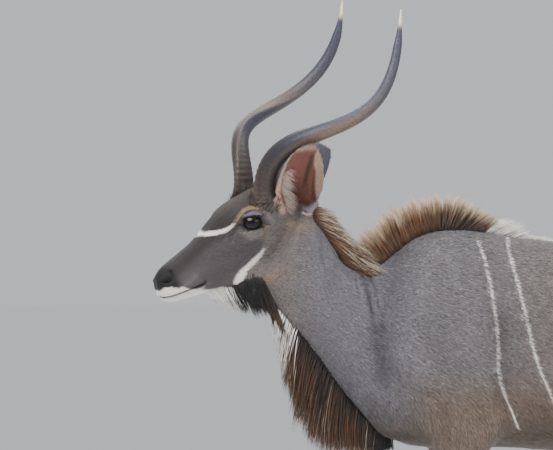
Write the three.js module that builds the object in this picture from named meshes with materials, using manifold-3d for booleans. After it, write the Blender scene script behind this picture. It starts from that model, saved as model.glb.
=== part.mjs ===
// Greater kudu bull, standing, with its head up and turned a little to its left.
// Millimetres, +Z up. The animal faces -Y and its left side is +X.
import * as THREE from "three";
import Module from "manifold-3d";

const wasm = await Module();
wasm.setup();

// Gaps left between neighbouring pieces
const FLESH_GAP = 0.4;
const GROWN = 0.7;

// Where the head sits: the crown between the horns, and how the head is turned
const CROWN = [70, -545, 1407];
const HEAD_TURN = 20;
const HEAD_NOD = 40;
const HEAD_ROLL = 7;

// Neck and trunk, from behind the head to the rump.
// back y, back z, underside y, underside z, half width, middle x, widest level, ridge, turn
const TORSO = [
  [-410, 1377, -505, 1168, 58, 70, 0.5, 0.15, 20],
  [-357, 1322, -478, 1112, 62, 62, 0.5, 0.2, 19],
  [-312, 1256, -441, 1058, 66, 50, 0.5, 0.25, 17],
  [-275, 1218, -388, 996, 75, 36, 0.5, 0.3, 14],
  [-233, 1211, -326, 925, 92, 22, 0.48, 0.35, 10],
  [-190, 1250, -262, 852, 114, 10, 0.46, 0.4, 6],
  [-146, 1294, -205, 790, 136, 3, 0.46, 0.5, 2],
  [-88, 1324, -138, 760, 154, 0, 0.45, 0.55, 0],
  [-20, 1331, -48, 756, 168, 0, 0.44, 0.55, 0],
  [60, 1319, 50, 760, 180, 0, 0.44, 0.5, 0],
  [150, 1302, 150, 757, 192, 0, 0.44, 0.42, 0],
  [260, 1291, 260, 748, 203, 0, 0.44, 0.36, 0],
  [370, 1287, 370, 745, 209, 0, 0.44, 0.34, 0],
  [480, 1289, 480, 750, 210, 0, 0.45, 0.34, 0],
  [590, 1296, 590, 764, 204, 0, 0.47, 0.34, 0],
  [700, 1304, 700, 790, 192, 0, 0.5, 0.32, 0],
  [800, 1307, 800, 826, 180, 0, 0.52, 0.3, 0],
  [890, 1301, 890, 862, 170, 0, 0.54, 0.3, 0],
  [975, 1284, 975, 905, 152, 0, 0.54, 0.3, 0],
  [1045, 1256, 1055, 955, 122, 0, 0.54, 0.28, 0],
  [1096, 1222, 1110, 1010, 82, 0, 0.52, 0.2, 0],
  [1124, 1186, 1134, 1070, 36, 0, 0.5, 0.1, 0],
];
const TORSO_STEPS = 1;
const TORSO_SIDES = 22;

// Head, measured forward from the crown.
// forward, top, underside, half width, widest level, flatness of the top, narrowing below
const HEAD = [
  [353, -45, -60, 8, 0.5, 0.1, 0.1],
  [350, -32, -70, 18, 0.5, 0.1, 0.1],
  [343, -13, -80, 26, 0.52, 0.1, 0.1],
  [330, 1, -89, 32, 0.55, 0.1, 0.15],
  [304, 8, -102, 36, 0.57, 0.15, 0.25],
  [268, 7, -120, 38, 0.56, 0.25, 0.3],
  [230, 4, -137, 41, 0.56, 0.3, 0.35],
  [190, 0, -154, 46, 0.6, 0.3, 0.35],
  [150, 3, -171, 53, 0.66, 0.2, 0.4],
  [112, 8, -185, 62, 0.74, 0.1, 0.4],
  [80, 8, -196, 70, 0.78, 0, 0.4],
  [48, 6, -203, 74, 0.79, 0, 0.35],
  [12, 2, -205, 72, 0.74, 0, 0.3],
  [-24, -6, -198, 66, 0.66, 0.05, 0.2],
  [-60, -24, -182, 56, 0.6, 0.15, 0.15],
  [-92, -52, -150, 38, 0.55, 0.2, 0.1],
];
const HEAD_STEPS = 2;
const HEAD_SIDES = 20;

// The lower jaw is parted from the head along the mouth
const MOUTH_FRONT = [354, -57];
const MOUTH_CORNER = [246, -97];
const MOUTH_GAP = 0.6;

// Eyes: forward, up, out, and the radius of the ball
const EYE = [56, -47, 58];
const EYE_RADIUS = 21;

// Horns: a bow between the base and the tip that turns as it goes back
const HORN_BASE = [-22, -12, 55];
const HORN_TIP = [-562, 140, 144];
const HORN_BOW = 101;
const HORN_TURN_START = 10;
const HORN_TURN = -180;
const HORN_TURN_EARLY = -125;
const HORN_STEPS = 28;
const HORN_SIDES = 10;
const HORN_RADIUS = 27;
const HORN_KEEL = 6;
const HORN_ROLL = 240;
const HORN_SUNK = 0.03;

// Ears: base, tip and the direction the width runs, forward, up, out.
// The left ear is spread to the side and the right one is laid back.
const LEFT_EAR = {
  base: [-57, -122, 62],
  tip: [-131, 72, 219],
  across: [-0.764, -0.628, 0.147],
  facing: 1,
};
const RIGHT_EAR = {
  base: [-57, -122, 58],
  tip: [-305, -133, 135],
  across: [-0.4, -0.9, 0.05],
  facing: -1,
};
// along the ear, shift of the middle, half width, depth of the cup, extra width of the front lip
const EAR = [
  [0, -2, 34, 26, 4],
  [0.1, -5, 45, 36, 10],
  [0.22, -8, 56, 42, 14],
  [0.35, -11, 64, 42, 13],
  [0.49, -11, 62, 37, 8],
  [0.62, -11, 58, 30, 4],
  [0.76, -12, 50, 19, 1],
  [0.87, -11, 39, 11, 0],
  [0.95, -8, 26, 6, 0],
  [1, 0, 6, 3, 0],
];
const EAR_STEPS = 1;
const EAR_WALL = 5;
const EAR_SIDES = 9;

// Legs, from the shoulder or hip down. height, front y, back y, half width, middle x
const FORE_LEG = [
  [1160, -92, 30, 22, 70],
  [1060, -132, 62, 42, 92],
  [960, -156, 84, 54, 108],
  [880, -142, 92, 58, 112],
  [800, -106, 90, 56, 108],
  [740, -72, 66, 48, 102],
  [660, -54, 46, 38, 95],
  [570, -42, 34, 30, 90],
  [490, -37, 26, 26, 88],
  [430, -42, 26, 29, 87],
  [388, -41, 26, 28, 87],
  [345, -28, 22, 21, 87],
  [280, -20, 21, 16, 87],
  [200, -18, 22, 16, 87],
  [152, -20, 28, 20, 87],
  [122, -26, 32, 24, 87],
  [92, -36, 20, 22, 87],
  [64, -50, 12, 25, 87],
  [40, -62, 10, 27, 87],
  [8, -64, 10, 27, 87],
];
const HIND_LEG = [
  [1210, 830, 1040, 26, 62],
  [1120, 790, 1092, 48, 84],
  [1020, 770, 1112, 62, 98],
  [930, 762, 1094, 68, 104],
  [850, 768, 1064, 66, 104],
  [780, 792, 1044, 56, 102],
  [710, 842, 1042, 44, 98],
  [640, 898, 1048, 35, 94],
  [570, 950, 1066, 28, 91],
  [510, 980, 1086, 25, 90],
  [468, 984, 1090, 28, 89],
  [430, 988, 1066, 27, 88],
  [385, 992, 1046, 22, 88],
  [310, 996, 1038, 17, 88],
  [210, 998, 1040, 17, 88],
  [158, 996, 1046, 21, 88],
  [126, 988, 1052, 25, 88],
  [94, 978, 1038, 23, 88],
  [64, 964, 1028, 26, 88],
  [40, 952, 1026, 28, 88],
  [8, 950, 1026, 28, 88],
];
const LEG_STEPS = 1;
const LEG_SIDES = 12;
const FORE_LEG_TOP = 744;
const HIND_LEG_TOP = 806;
const HIND_LEG_FRONT = 752;
const BETWEEN_LEGS = 500;

// Hooves: two claws a foot, flat below. height, toe, heel, half width, measured from the foot
const CLAW = [
  [0, -78, 14, 14.5],
  [12, -76, 15, 14.5],
  [30, -68, 14, 14.2],
  [48, -58, 12, 13.6],
  [60, -50, 10, 13],
];
const CLAW_SIDES = 12;
const CLAW_GAP = 2.4;
const CORONET_FRONT = [-58, 52];
const CORONET_BACK = [14, 30];
const HOOF_SCALE_HIND = 0.94;

// The feet: which rows, where the foot stands, and how far each foot is set back
const HIP = 900;
const FEET = [
  { name: "front", rows: FORE_LEG, y: 0, scale: 1, fore: true, stride: { left: 0, right: 64 } },
  {
    name: "rear",
    rows: HIND_LEG,
    y: 1014,
    scale: HOOF_SCALE_HIND,
    fore: false,
    stride: { left: 26, right: -96 },
  },
];
const SIDES = [
  { name: "left", mirror: 1 },
  { name: "right", mirror: -1 },
];

// Dewclaws behind the fetlock: back, height and half sizes
const DEWCLAW = { out: 13, back: 31, height: 96, half: [8, 8, 13] };

// Tail: y, z, half width and half thickness down the dock, then the brush
const TAIL = [
  [1098, 1216, 22, 18],
  [1140, 1202, 24, 19],
  [1168, 1150, 27, 20],
  [1178, 1080, 31, 21],
  [1180, 1010, 36, 23],
  [1178, 940, 38, 24],
  [1174, 880, 34, 23],
  [1170, 830, 22, 16],
  [1167, 800, 6, 6],
];
const TAIL_SIDES = 12;
const BRUSH_TOP = 1000;

// Hair that stands off the body. root y, root z, tip y, tip z, half thickness, middle x, turn
const NAPE_MANE = [
  [-392, 1352, -372, 1378, 7, 66, 15],
  [-366, 1318, -328, 1370, 13, 62, 14],
  [-330, 1272, -290, 1330, 15, 53, 13],
  [-296, 1226, -262, 1294, 16, 42, 12],
  [-266, 1204, -236, 1262, 16, 31, 10],
  [-236, 1196, -216, 1236, 10, 22, 8],
];
const WITHERS_MANE = [
  [-222, 1214, -234, 1262, 9, 18, 7],
  [-196, 1236, -214, 1332, 15, 12, 5],
  [-156, 1270, -190, 1368, 18, 5, 3],
  [-112, 1296, -148, 1392, 18, 1, 1],
  [-66, 1310, -88, 1408, 18, 0, 0],
  [-18, 1314, -22, 1410, 17, 0, 0],
  [32, 1308, 44, 1386, 15, 0, 0],
  [78, 1300, 92, 1356, 11, 0, 0],
];
const BACK_CREST = [
  [96, 1292, 108, 1340, 9, 0, 0],
  [150, 1286, 164, 1334, 10, 0, 0],
  [300, 1272, 314, 1316, 10, 0, 0],
  [480, 1272, 494, 1316, 10, 0, 0],
  [680, 1286, 694, 1330, 10, 0, 0],
  [860, 1288, 876, 1326, 10, 0, 0],
  [1000, 1260, 1018, 1290, 9, 0, 0],
  [1076, 1222, 1092, 1238, 5, 0, 0],
];
const BEARD = [
  [-612, 1152, -614, 1132, 10, 88, 15],
  [-588, 1160, -588, 1110, 18, 85, 15],
  [-556, 1166, -552, 1088, 24, 80, 15],
  [-522, 1172, -512, 1078, 24, 75, 15],
  [-494, 1166, -486, 1090, 16, 70, 14],
];
const THROAT_FRINGE = [
  [-468, 1112, -488, 1066, 12, 62, 14],
  [-440, 1072, -484, 1008, 18, 56, 14],
  [-412, 1036, -478, 940, 20, 48, 13],
  [-378, 996, -462, 870, 21, 38, 11],
  [-342, 950, -428, 806, 22, 27, 9],
  [-306, 912, -376, 764, 21, 19, 7],
  [-268, 872, -320, 762, 19, 11, 5],
  [-232, 832, -266, 756, 16, 6, 3],
  [-200, 800, -212, 744, 12, 3, 2],
  [-170, 784, -166, 742, 7, 1, 0],
];
const HAIR_STEPS = 1;
const HAIR_SIDES = 8;

const COLOURS = {
  coat: 0x7d7873,
  face: 0x55514f,
  hair: 0x5b4a3c,
  beard: 0x2a2523,
  white: 0xd8d4cc,
  lowerLeg: 0x9a7a58,
  horn: 0x5a544e,
  hoof: 0x2b2826,
  eye: 0x16100c,
  ear: 0x8a7b70,
};

function material(colour, name) {
  const made = new THREE.MeshStandardMaterial({ color: colour, roughness: 0.8 });
  made.name = name;
  return made;
}

const MATERIALS = {
  coat: material(COLOURS.coat, "coat"),
  hair: material(COLOURS.hair, "long_hair"),
  beard: material(COLOURS.beard, "dark_hair"),
  white: material(COLOURS.white, "white_hair"),
  horn: material(COLOURS.horn, "horn"),
  hoof: material(COLOURS.hoof, "hoof"),
  eye: material(COLOURS.eye, "eye"),
};

// A row part-way between the rows of a table
function rowAt(rows, t) {
  const last = rows.length - 1;
  const i = Math.min(Math.floor(t), last - 1);
  const f = t - i;
  const a = rows[Math.max(i - 1, 0)];
  const b = rows[i];
  const c = rows[i + 1];
  const d = rows[Math.min(i + 2, last)];
  return b.map((value, k) => {
    const leave = (c[k] - a[k]) / 2;
    const arrive = (d[k] - b[k]) / 2;
    const h = f * f * (3 - 2 * f);
    const up = f * (1 - f) * (1 - f) * leave;
    const down = f * f * (1 - f) * arrive;
    return value + (c[k] - value) * h + up - down;
  });
}

function refined(rows, steps) {
  const made = [];
  for (let n = 0; n <= (rows.length - 1) * steps; n += 1) {
    made.push(rowAt(rows, n / steps));
  }
  return made;
}

// A closed skin through rings of points, shut at both ends
function loft(rings, strip = false) {
  const count = rings[0].length;
  const points = rings.flat();
  const faces = [];
  for (let r = 0; r < rings.length - 1; r += 1) {
    for (let k = 0; k < count; k += 1) {
      const a = r * count + k;
      const b = r * count + ((k + 1) % count);
      faces.push(a, b, b + count, a, b + count, a + count);
    }
  }
  [0, rings.length - 1].forEach((r) => {
    const start = r * count;
    const way = r === 0 ? 1 : -1;
    const add = (a, b, c) => faces.push(...(way > 0 ? [a, c, b] : [a, b, c]));
    if (strip) {
      for (let k = 0; k < count / 2 - 1; k += 1) {
        const m = count - 1 - k;
        add(start + k, start + k + 1, start + m);
        add(start + k + 1, start + m - 1, start + m);
      }
      return;
    }
    const middle = new THREE.Vector3();
    rings[r].forEach((point) => middle.addScaledVector(point, 1 / count));
    points.push(middle);
    for (let k = 0; k < count; k += 1) {
      add(start + k, start + ((k + 1) % count), points.length - 1);
    }
  });
  const geometry = new THREE.BufferGeometry();
  geometry.setAttribute(
    "position",
    new THREE.Float32BufferAttribute(points.flatMap((p) => [p.x, p.y, p.z]), 3),
  );
  geometry.setIndex(facingOut(points, faces));
  return geometry;
}

function facingOut(points, faces) {
  let volume = 0;
  for (let i = 0; i < faces.length; i += 3) {
    const [a, b, c] = [points[faces[i]], points[faces[i + 1]], points[faces[i + 2]]];
    volume += a.dot(new THREE.Vector3().crossVectors(b, c));
  }
  if (volume >= 0) {
    return faces;
  }
  const turned = [];
  for (let i = 0; i < faces.length; i += 3) {
    turned.push(faces[i], faces[i + 2], faces[i + 1]);
  }
  return turned;
}

function solid(geometry) {
  const position = geometry.getAttribute("position");
  const mesh = new wasm.Mesh({
    numProp: 3,
    vertProperties: new Float32Array(position.array),
    triVerts: new Uint32Array(geometry.getIndex().array),
  });
  return new wasm.Manifold(mesh);
}

// A three.js shape that shares no corners is welded before it becomes a solid
function weldedSolid(shape, matrix) {
  const plain = shape.toNonIndexed();
  plain.applyMatrix4(matrix);
  const seen = new Map();
  const points = [];
  const faces = [];
  const position = plain.getAttribute("position");
  for (let i = 0; i < position.count; i += 1) {
    const point = new THREE.Vector3().fromBufferAttribute(position, i);
    const key = point.toArray().map((v) => Math.round(v * 1000)).join(" ");
    if (!seen.has(key)) {
      seen.set(key, points.length);
      points.push(point);
    }
    faces.push(seen.get(key));
  }
  const kept = [];
  for (let i = 0; i < faces.length; i += 3) {
    const [a, b, c] = [faces[i], faces[i + 1], faces[i + 2]];
    if (a !== b && b !== c && a !== c) {
      kept.push(a, b, c);
    }
  }
  const geometry = new THREE.BufferGeometry();
  geometry.setAttribute(
    "position",
    new THREE.Float32BufferAttribute(points.flatMap((p) => [p.x, p.y, p.z]), 3),
  );
  geometry.setIndex(facingOut(points, kept));
  return solid(geometry);
}

function joined(solids) {
  return solids.reduce((sum, next) => sum.add(next));
}

function sideways(turn) {
  const angle = THREE.MathUtils.degToRad(turn);
  return new THREE.Vector3(Math.cos(angle), Math.sin(angle), 0);
}

// One section between a high and a low point, widest part-way up
function section(high, low, side, half, level, ridge, below, sides) {
  const ring = [];
  const axis = new THREE.Vector3().subVectors(high, low);
  for (let k = 0; k < sides; k += 1) {
    const angle = (2 * Math.PI * k) / sides;
    const c = Math.cos(angle);
    const s = Math.sin(angle);
    const share = c > 0 ? level + (1 - level) * c : level * (1 + c);
    const fuller = Math.sign(s) * Math.abs(s) ** 0.88;
    const pinch = c > 0 ? 1 - ridge * c * c : 1 - below * c * c;
    ring.push(
      low.clone()
        .addScaledVector(axis, share)
        .addScaledVector(side, half * fuller * pinch),
    );
  }
  return ring;
}

function torso(grow) {
  const rings = refined(TORSO, TORSO_STEPS).map((row) => {
    const [backY, backZ, lowY, lowZ, half, x, level, ridge, turn] = row;
    const high = new THREE.Vector3(x, backY, backZ);
    const low = new THREE.Vector3(x, lowY, lowZ);
    const up = new THREE.Vector3().subVectors(high, low).normalize();
    high.addScaledVector(up, grow);
    low.addScaledVector(up, -grow);
    return section(high, low, sideways(turn), half + grow, level, ridge, 0.12, TORSO_SIDES);
  });
  return solid(loft(rings));
}

const HEAD_PLACE = new THREE.Matrix4()
  .makeTranslation(...CROWN)
  .multiply(new THREE.Matrix4().makeRotationZ(THREE.MathUtils.degToRad(HEAD_TURN)))
  .multiply(new THREE.Matrix4().makeRotationX(THREE.MathUtils.degToRad(HEAD_NOD)))
  .multiply(new THREE.Matrix4().makeRotationY(THREE.MathUtils.degToRad(HEAD_ROLL)));

// A point on the head from its distance forward, up and out to the left
function onHead(forward, up, out) {
  return new THREE.Vector3(out, -forward, up).applyMatrix4(HEAD_PLACE);
}

function alongHead(forward, up, out) {
  return new THREE.Vector3(out, -forward, up).transformDirection(HEAD_PLACE);
}

function headShape(grow) {
  const side = alongHead(0, 0, 1);
  const rings = refined(HEAD, HEAD_STEPS).map((row, n) => {
    const [forward, top, low, half, level, flat, below] = row;
    const ahead = n === 0 ? grow : 0;
    return section(
      onHead(forward + ahead, top + grow, 0),
      onHead(forward + ahead, low - grow, 0),
      side,
      half + grow,
      level,
      flat,
      below,
      HEAD_SIDES,
    );
  });
  return solid(loft(rings));
}

function legShape(foot, side, grow) {
  const { mirror } = side;
  const rings = refined(foot.rows, LEG_STEPS).map((row) => {
    const [height, front, back, half, x] = row;
    const stride = foot.stride[side.name] * Math.max(0, 1 - height / HIP) ** 1.5;
    const ring = [];
    for (let k = 0; k < LEG_SIDES; k += 1) {
      const angle = (2 * Math.PI * k) / LEG_SIDES;
      const reach = (back - front) / 2 + grow;
      ring.push(new THREE.Vector3(
        mirror * (x + (half + grow) * Math.sin(angle)),
        (front + back) / 2 + stride + reach * Math.cos(angle),
        height,
      ));
    }
    return ring;
  });
  return solid(loft(rings));
}

function flesh(grow) {
  const legs = FEET.flatMap((foot) => SIDES.map((side) => legShape(foot, side, grow)));
  return joined([torso(grow), headShape(grow), ...legs]);
}

// A blade of hair from its roots to its tips
function hair(rows, grow) {
  const all = refined(rows, HAIR_STEPS);
  const rings = all.map((row, n) => {
    const [rootY, rootZ, tipY, tipZ, half, x, turn] = row;
    const before = all[Math.max(n - 1, 0)];
    const after = all[Math.min(n + 1, all.length - 1)];
    const along = new THREE.Vector3(0, after[0] - before[0], after[1] - before[1]).normalize();
    const end = Number(n === all.length - 1) - Number(n === 0);
    const shift = along.multiplyScalar(end * grow);
    const root = new THREE.Vector3(x, rootY, rootZ).add(shift);
    const tip = new THREE.Vector3(x, tipY, tipZ).add(shift);
    tip.addScaledVector(new THREE.Vector3().subVectors(tip, root).normalize(), grow);
    return section(tip, root, sideways(turn), half + grow, 0.3, 0.2, 0, HAIR_SIDES);
  });
  return solid(loft(rings));
}

function hornCentre(mirror, t) {
  const [bf, bu, bo] = HORN_BASE;
  const [tf, tu, to] = HORN_TIP;
  const base = new THREE.Vector3(bo, -bf, bu);
  const tip = new THREE.Vector3(to, -tf, tu);
  const axis = new THREE.Vector3().subVectors(tip, base);
  const along = axis.clone().normalize();
  const up = new THREE.Vector3(0, 0, 1).addScaledVector(along, -along.z).normalize();
  const inward = new THREE.Vector3().crossVectors(up, along);
  const angle = THREE.MathUtils.degToRad(
    HORN_TURN_START + HORN_TURN * t + HORN_TURN_EARLY * t * (1 - t),
  );
  const bow = HORN_BOW * 4 * t * (1 - t);
  const centre = base.clone()
    .addScaledVector(axis, t)
    .addScaledVector(up, bow * Math.cos(angle))
    .addScaledVector(inward, bow * Math.sin(angle));
  centre.x *= mirror;
  return centre;
}

class HornPath extends THREE.Curve {
  constructor(mirror) {
    super();
    this.mirror = mirror;
  }

  getPoint(t) {
    return hornCentre(this.mirror, t * (1 + HORN_SUNK) - HORN_SUNK);
  }
}

function hornShape(mirror) {
  const path = new HornPath(mirror);
  const rings = [];
  let reference = new THREE.Vector3(0, -0.8, 0.6);
  for (let n = 0; n <= HORN_STEPS; n += 1) {
    const t = n / HORN_STEPS;
    const centre = path.getPoint(t);
    const along = path.getTangent(t);
    reference.addScaledVector(along, -reference.dot(along)).normalize();
    const across = new THREE.Vector3().crossVectors(along, reference);
    const thin = 1 - t;
    const radius = HORN_RADIUS * (0.1 + 0.9 * thin ** 0.5) * Math.min(1, 0.35 + 5 * thin);
    const keel = HORN_KEEL * thin;
    const ring = [];
    for (let k = 0; k < HORN_SIDES; k += 1) {
      const angle = (2 * Math.PI * k) / HORN_SIDES;
      const lift = k === 0 ? keel : 0;
      ring.push(
        centre.clone()
          .addScaledVector(reference, (radius + lift) * Math.cos(angle))
          .addScaledVector(across, radius * 0.9 * Math.sin(angle)),
      );
    }
    rings.push(ring.map((point) => point.applyMatrix4(HEAD_PLACE)));
    const twist = THREE.MathUtils.degToRad(HORN_ROLL / HORN_STEPS) * mirror;
    reference = reference.clone().applyAxisAngle(along, -twist);
  }
  return solid(loft(rings));
}

function earShape(ear, mirror, grow) {
  const base = onHead(ear.base[0], ear.base[1], mirror * ear.base[2]);
  const tip = onHead(ear.tip[0], ear.tip[1], mirror * ear.tip[2]);
  const along = new THREE.Vector3().subVectors(tip, base);
  const length = along.length();
  along.normalize();
  const across = alongHead(ear.across[0], ear.across[1], ear.across[2]);
  across.addScaledVector(along, -across.dot(along)).normalize();
  const opening = new THREE.Vector3().crossVectors(across, along).multiplyScalar(ear.facing);
  const rings = refined(EAR, EAR_STEPS).map(([share, shift, half, depth, lip]) => {
    const ring = [];
    const middle = base.clone().addScaledVector(along, length * share);
    middle.addScaledVector(across, shift);
    const arc = (k, inset) => {
      const angle = (Math.PI * k) / EAR_SIDES;
      const front = inset > 0 ? lip / 2 : 0;
      const more = inset > 0 ? -grow : grow;
      const wide = Math.max(half - inset - front + more, 1);
      const deep = Math.max(depth - inset + more, 0.5);
      return middle.clone()
        .addScaledVector(across, wide * Math.cos(angle) + front)
        .addScaledVector(opening, grow - deep * Math.sin(angle));
    };
    for (let k = 0; k <= EAR_SIDES; k += 1) {
      ring.push(arc(k, 0));
    }
    for (let k = EAR_SIDES; k >= 0; k -= 1) {
      ring.push(arc(k, Math.min(EAR_WALL, half * 0.5)));
    }
    return ring;
  });
  return solid(loft(rings, true));
}

function eyeShape(mirror, grow) {
  const centre = onHead(EYE[0], EYE[1], mirror * EYE[2]);
  const place = new THREE.Matrix4().makeTranslation(centre.x, centre.y, centre.z);
  return weldedSolid(new THREE.SphereGeometry(EYE_RADIUS + grow, 16, 9), place);
}

function clawShape(footX, footY, mirror, side, scale) {
  const rings = refined(CLAW, 1).map(([height, toe, heel, half]) => {
    const ring = [];
    for (let k = 0; k < CLAW_SIDES; k += 1) {
      const angle = (2 * Math.PI * k) / CLAW_SIDES;
      const c = Math.cos(angle);
      const along = (toe + heel) / 2 + ((heel - toe) / 2) * c;
      const nearToe = c < 0 ? 1 - 0.45 * c * c : 1;
      const across = half * Math.sin(angle) * nearToe;
      const inward = c < 0 ? -side * half * 0.3 * c * c : 0;
      ring.push(new THREE.Vector3(
        footX + mirror * (side * (half + CLAW_GAP / 2) + across + inward) * scale,
        footY + along * scale,
        height,
      ));
    }
    return ring;
  });
  return solid(loft(rings));
}

// The side of the coronet that the hoof lies on
function belowCoronet(footY, scale, shift) {
  const run = (CORONET_BACK[0] - CORONET_FRONT[0]) * scale;
  const fall = CORONET_FRONT[1] - CORONET_BACK[1];
  const normal = new THREE.Vector3(0, -fall, -run).normalize();
  const point = new THREE.Vector3(0, footY + CORONET_FRONT[0] * scale, CORONET_FRONT[1] + shift);
  return { normal: normal.toArray(), offset: normal.dot(point) };
}

function above(plane) {
  return { normal: plane.normal.map((v) => -v), offset: -plane.offset };
}

function trimmed(body, plane) {
  return body.trimByPlane(plane.normal, plane.offset);
}

// The plane through the back and underside of one torso row, moved along the body
function torsoPlane(row, shift) {
  const [backY, backZ, lowY, lowZ, , x, , , turn] = row;
  const up = new THREE.Vector3(0, backY - lowY, backZ - lowZ).normalize();
  const normal = new THREE.Vector3().crossVectors(up, sideways(turn)).normalize();
  if (normal.y < 0) {
    normal.multiplyScalar(-1);
  }
  const point = new THREE.Vector3(x, lowY, lowZ).addScaledVector(normal, shift);
  return { normal: normal.toArray(), offset: normal.dot(point) };
}

function block(low, high) {
  const size = new THREE.Vector3().subVectors(high, low);
  const middle = new THREE.Vector3().addVectors(low, high).multiplyScalar(0.5);
  const place = new THREE.Matrix4().makeTranslation(middle.x, middle.y, middle.z);
  return weldedSolid(new THREE.BoxGeometry(size.x, size.y, size.z), place);
}

function legRegion(fore, gap) {
  const top = (fore ? FORE_LEG_TOP : HIND_LEG_TOP) + gap;
  const front = (fore ? -400 : HIND_LEG_FRONT) - gap;
  const back = fore ? BETWEEN_LEGS : 1400;
  return block(new THREE.Vector3(-400, front, -50), new THREE.Vector3(400, back, top));
}

function jawRegion(gap) {
  const [ff, fu] = MOUTH_FRONT;
  const [cf, cu] = MOUTH_CORNER;
  const outline = [
    [ff + 40, fu + ((fu - cu) / (ff - cf)) * 40 + gap],
    [cf - gap, cu + gap],
    [cf - gap - 10, cu - 140],
    [ff + 40, cu - 140],
  ];
  const ends = [-90, 90].map((out) => outline.map(([f, u]) => onHead(f, u, out)));
  return solid(loft(ends));
}


function dewclawShape(footX, footY, mirror, side, scale, grow) {
  const place = new THREE.Matrix4()
    .makeTranslation(
      footX + mirror * side * DEWCLAW.out,
      footY + DEWCLAW.back * scale,
      DEWCLAW.height,
    )
    .multiply(new THREE.Matrix4().makeRotationX(THREE.MathUtils.degToRad(24)))
    .multiply(new THREE.Matrix4().makeScale(
      DEWCLAW.half[0] + grow,
      DEWCLAW.half[1] + grow,
      DEWCLAW.half[2] + grow,
    ));
  return weldedSolid(new THREE.SphereGeometry(1, 8, 5), place);
}

function tailShape() {
  const rings = refined(TAIL, 1).map(([y, z, half, thick], n, all) => {
    const before = all[Math.max(n - 1, 0)];
    const after = all[Math.min(n + 1, all.length - 1)];
    const along = new THREE.Vector3(0, after[0] - before[0], after[1] - before[1]).normalize();
    const outward = new THREE.Vector3(1, 0, 0).cross(along);
    const ring = [];
    for (let k = 0; k < TAIL_SIDES; k += 1) {
      const angle = (2 * Math.PI * k) / TAIL_SIDES;
      ring.push(
        new THREE.Vector3(half * Math.cos(angle), y, z)
          .addScaledVector(outward, thick * Math.sin(angle)),
      );
    }
    return ring;
  });
  return solid(loft(rings));
}

const nodes = [];

function node(name, body, paint) {
  const { vertProperties, triVerts, numProp } = body.getMesh();
  const points = [];
  for (let i = 0; i < vertProperties.length; i += numProp) {
    points.push(vertProperties[i], vertProperties[i + 1], vertProperties[i + 2]);
  }
  const geometry = new THREE.BufferGeometry();
  geometry.setAttribute("position", new THREE.Float32BufferAttribute(points, 3));
  geometry.setIndex(Array.from(triVerts));
  geometry.computeVertexNormals();
  const mesh = new THREE.Mesh(geometry, paint);
  mesh.name = name;
  nodes.push(mesh);
}

function largest(body) {
  const parts = body.decompose();
  return parts.reduce((best, next) => (next.volume() > best.volume() ? next : best));
}

// Flesh, with sockets for the eyes, parted into head, jaw, neck, trunk and legs
const grown = flesh(GROWN);
const eyeSockets = SIDES.map((side) => eyeShape(side.mirror, FLESH_GAP));
let whole = flesh(0);
eyeSockets.forEach((socket) => {
  whole = whole.subtract(socket);
});

const hooves = [];
const dewclaws = [];
FEET.forEach((foot) => {
  SIDES.forEach((side) => {
    const footX = side.mirror * foot.rows[foot.rows.length - 1][4];
    const footY = foot.y + foot.stride[side.name];
    const legName = `${foot.name}_${side.name}`;
    [["inner", -1], ["outer", 1]].forEach(([place, way]) => {
      const claw = clawShape(footX, footY, side.mirror, way, foot.scale);
      const kept = trimmed(claw, belowCoronet(footY, foot.scale, -FLESH_GAP / 2));
      hooves.push([`hoof_${legName}_${place}`, kept]);
      const dewclaw = dewclawShape(footX, footY, side.mirror, way, foot.scale, 0);
      const socket = dewclawShape(footX, footY, side.mirror, way, foot.scale, FLESH_GAP);
      dewclaws.push([`dewclaw_${legName}_${place}`, dewclaw]);
      whole = whole.subtract(socket);
    });
  });
});

const neckFront = rowAt(TORSO, 1.2);
const neckBack = rowAt(TORSO, 6);
const headEnd = trimmed(whole, above(torsoPlane(neckFront, -FLESH_GAP / 2)));
const behindHead = trimmed(whole, torsoPlane(neckFront, FLESH_GAP / 2));
const neck = trimmed(behindHead, above(torsoPlane(neckBack, -FLESH_GAP / 2)));
let trunk = trimmed(behindHead, torsoPlane(neckBack, FLESH_GAP / 2));

const headOnly = headEnd.subtract(jawRegion(MOUTH_GAP));
node("head", largest(headOnly), MATERIALS.coat);
node("lower_jaw", largest(headEnd.intersect(jawRegion(0))), MATERIALS.coat);
node("neck", largest(neck), MATERIALS.coat);

FEET.forEach((foot) => {
  const legs = trunk.intersect(legRegion(foot.fore, -FLESH_GAP));
  SIDES.forEach((side) => {
    const facing = { normal: [side.mirror, 0, 0], offset: 0 };
    const leg = trimmed(legs, facing);
    const footY = foot.y + foot.stride[side.name];
    const coronet = above(belowCoronet(footY, foot.scale, FLESH_GAP / 2));
    node(`leg_${foot.name}_${side.name}`, largest(trimmed(leg, coronet)), MATERIALS.coat);
  });
});
trunk = trunk.subtract(legRegion(true, 0)).subtract(legRegion(false, 0));
node("trunk", largest(trunk), MATERIALS.coat);

hooves.forEach(([name, body]) => node(name, body, MATERIALS.hoof));
dewclaws.forEach(([name, body]) => node(name, body, MATERIALS.hoof));

let taken = grown;
SIDES.forEach((side) => {
  const ear = side.mirror > 0 ? LEFT_EAR : RIGHT_EAR;
  node(`eye_${side.name}`, eyeShape(side.mirror, 0), MATERIALS.eye);
  const horn = largest(hornShape(side.mirror).subtract(grown));
  node(`horn_${side.name}`, horn, MATERIALS.horn);
  const shell = earShape(ear, side.mirror, 0).subtract(grown);
  node(`ear_${side.name}`, largest(shell), MATERIALS.coat);
  taken = taken.add(earShape(ear, side.mirror, GROWN));
});

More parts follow.
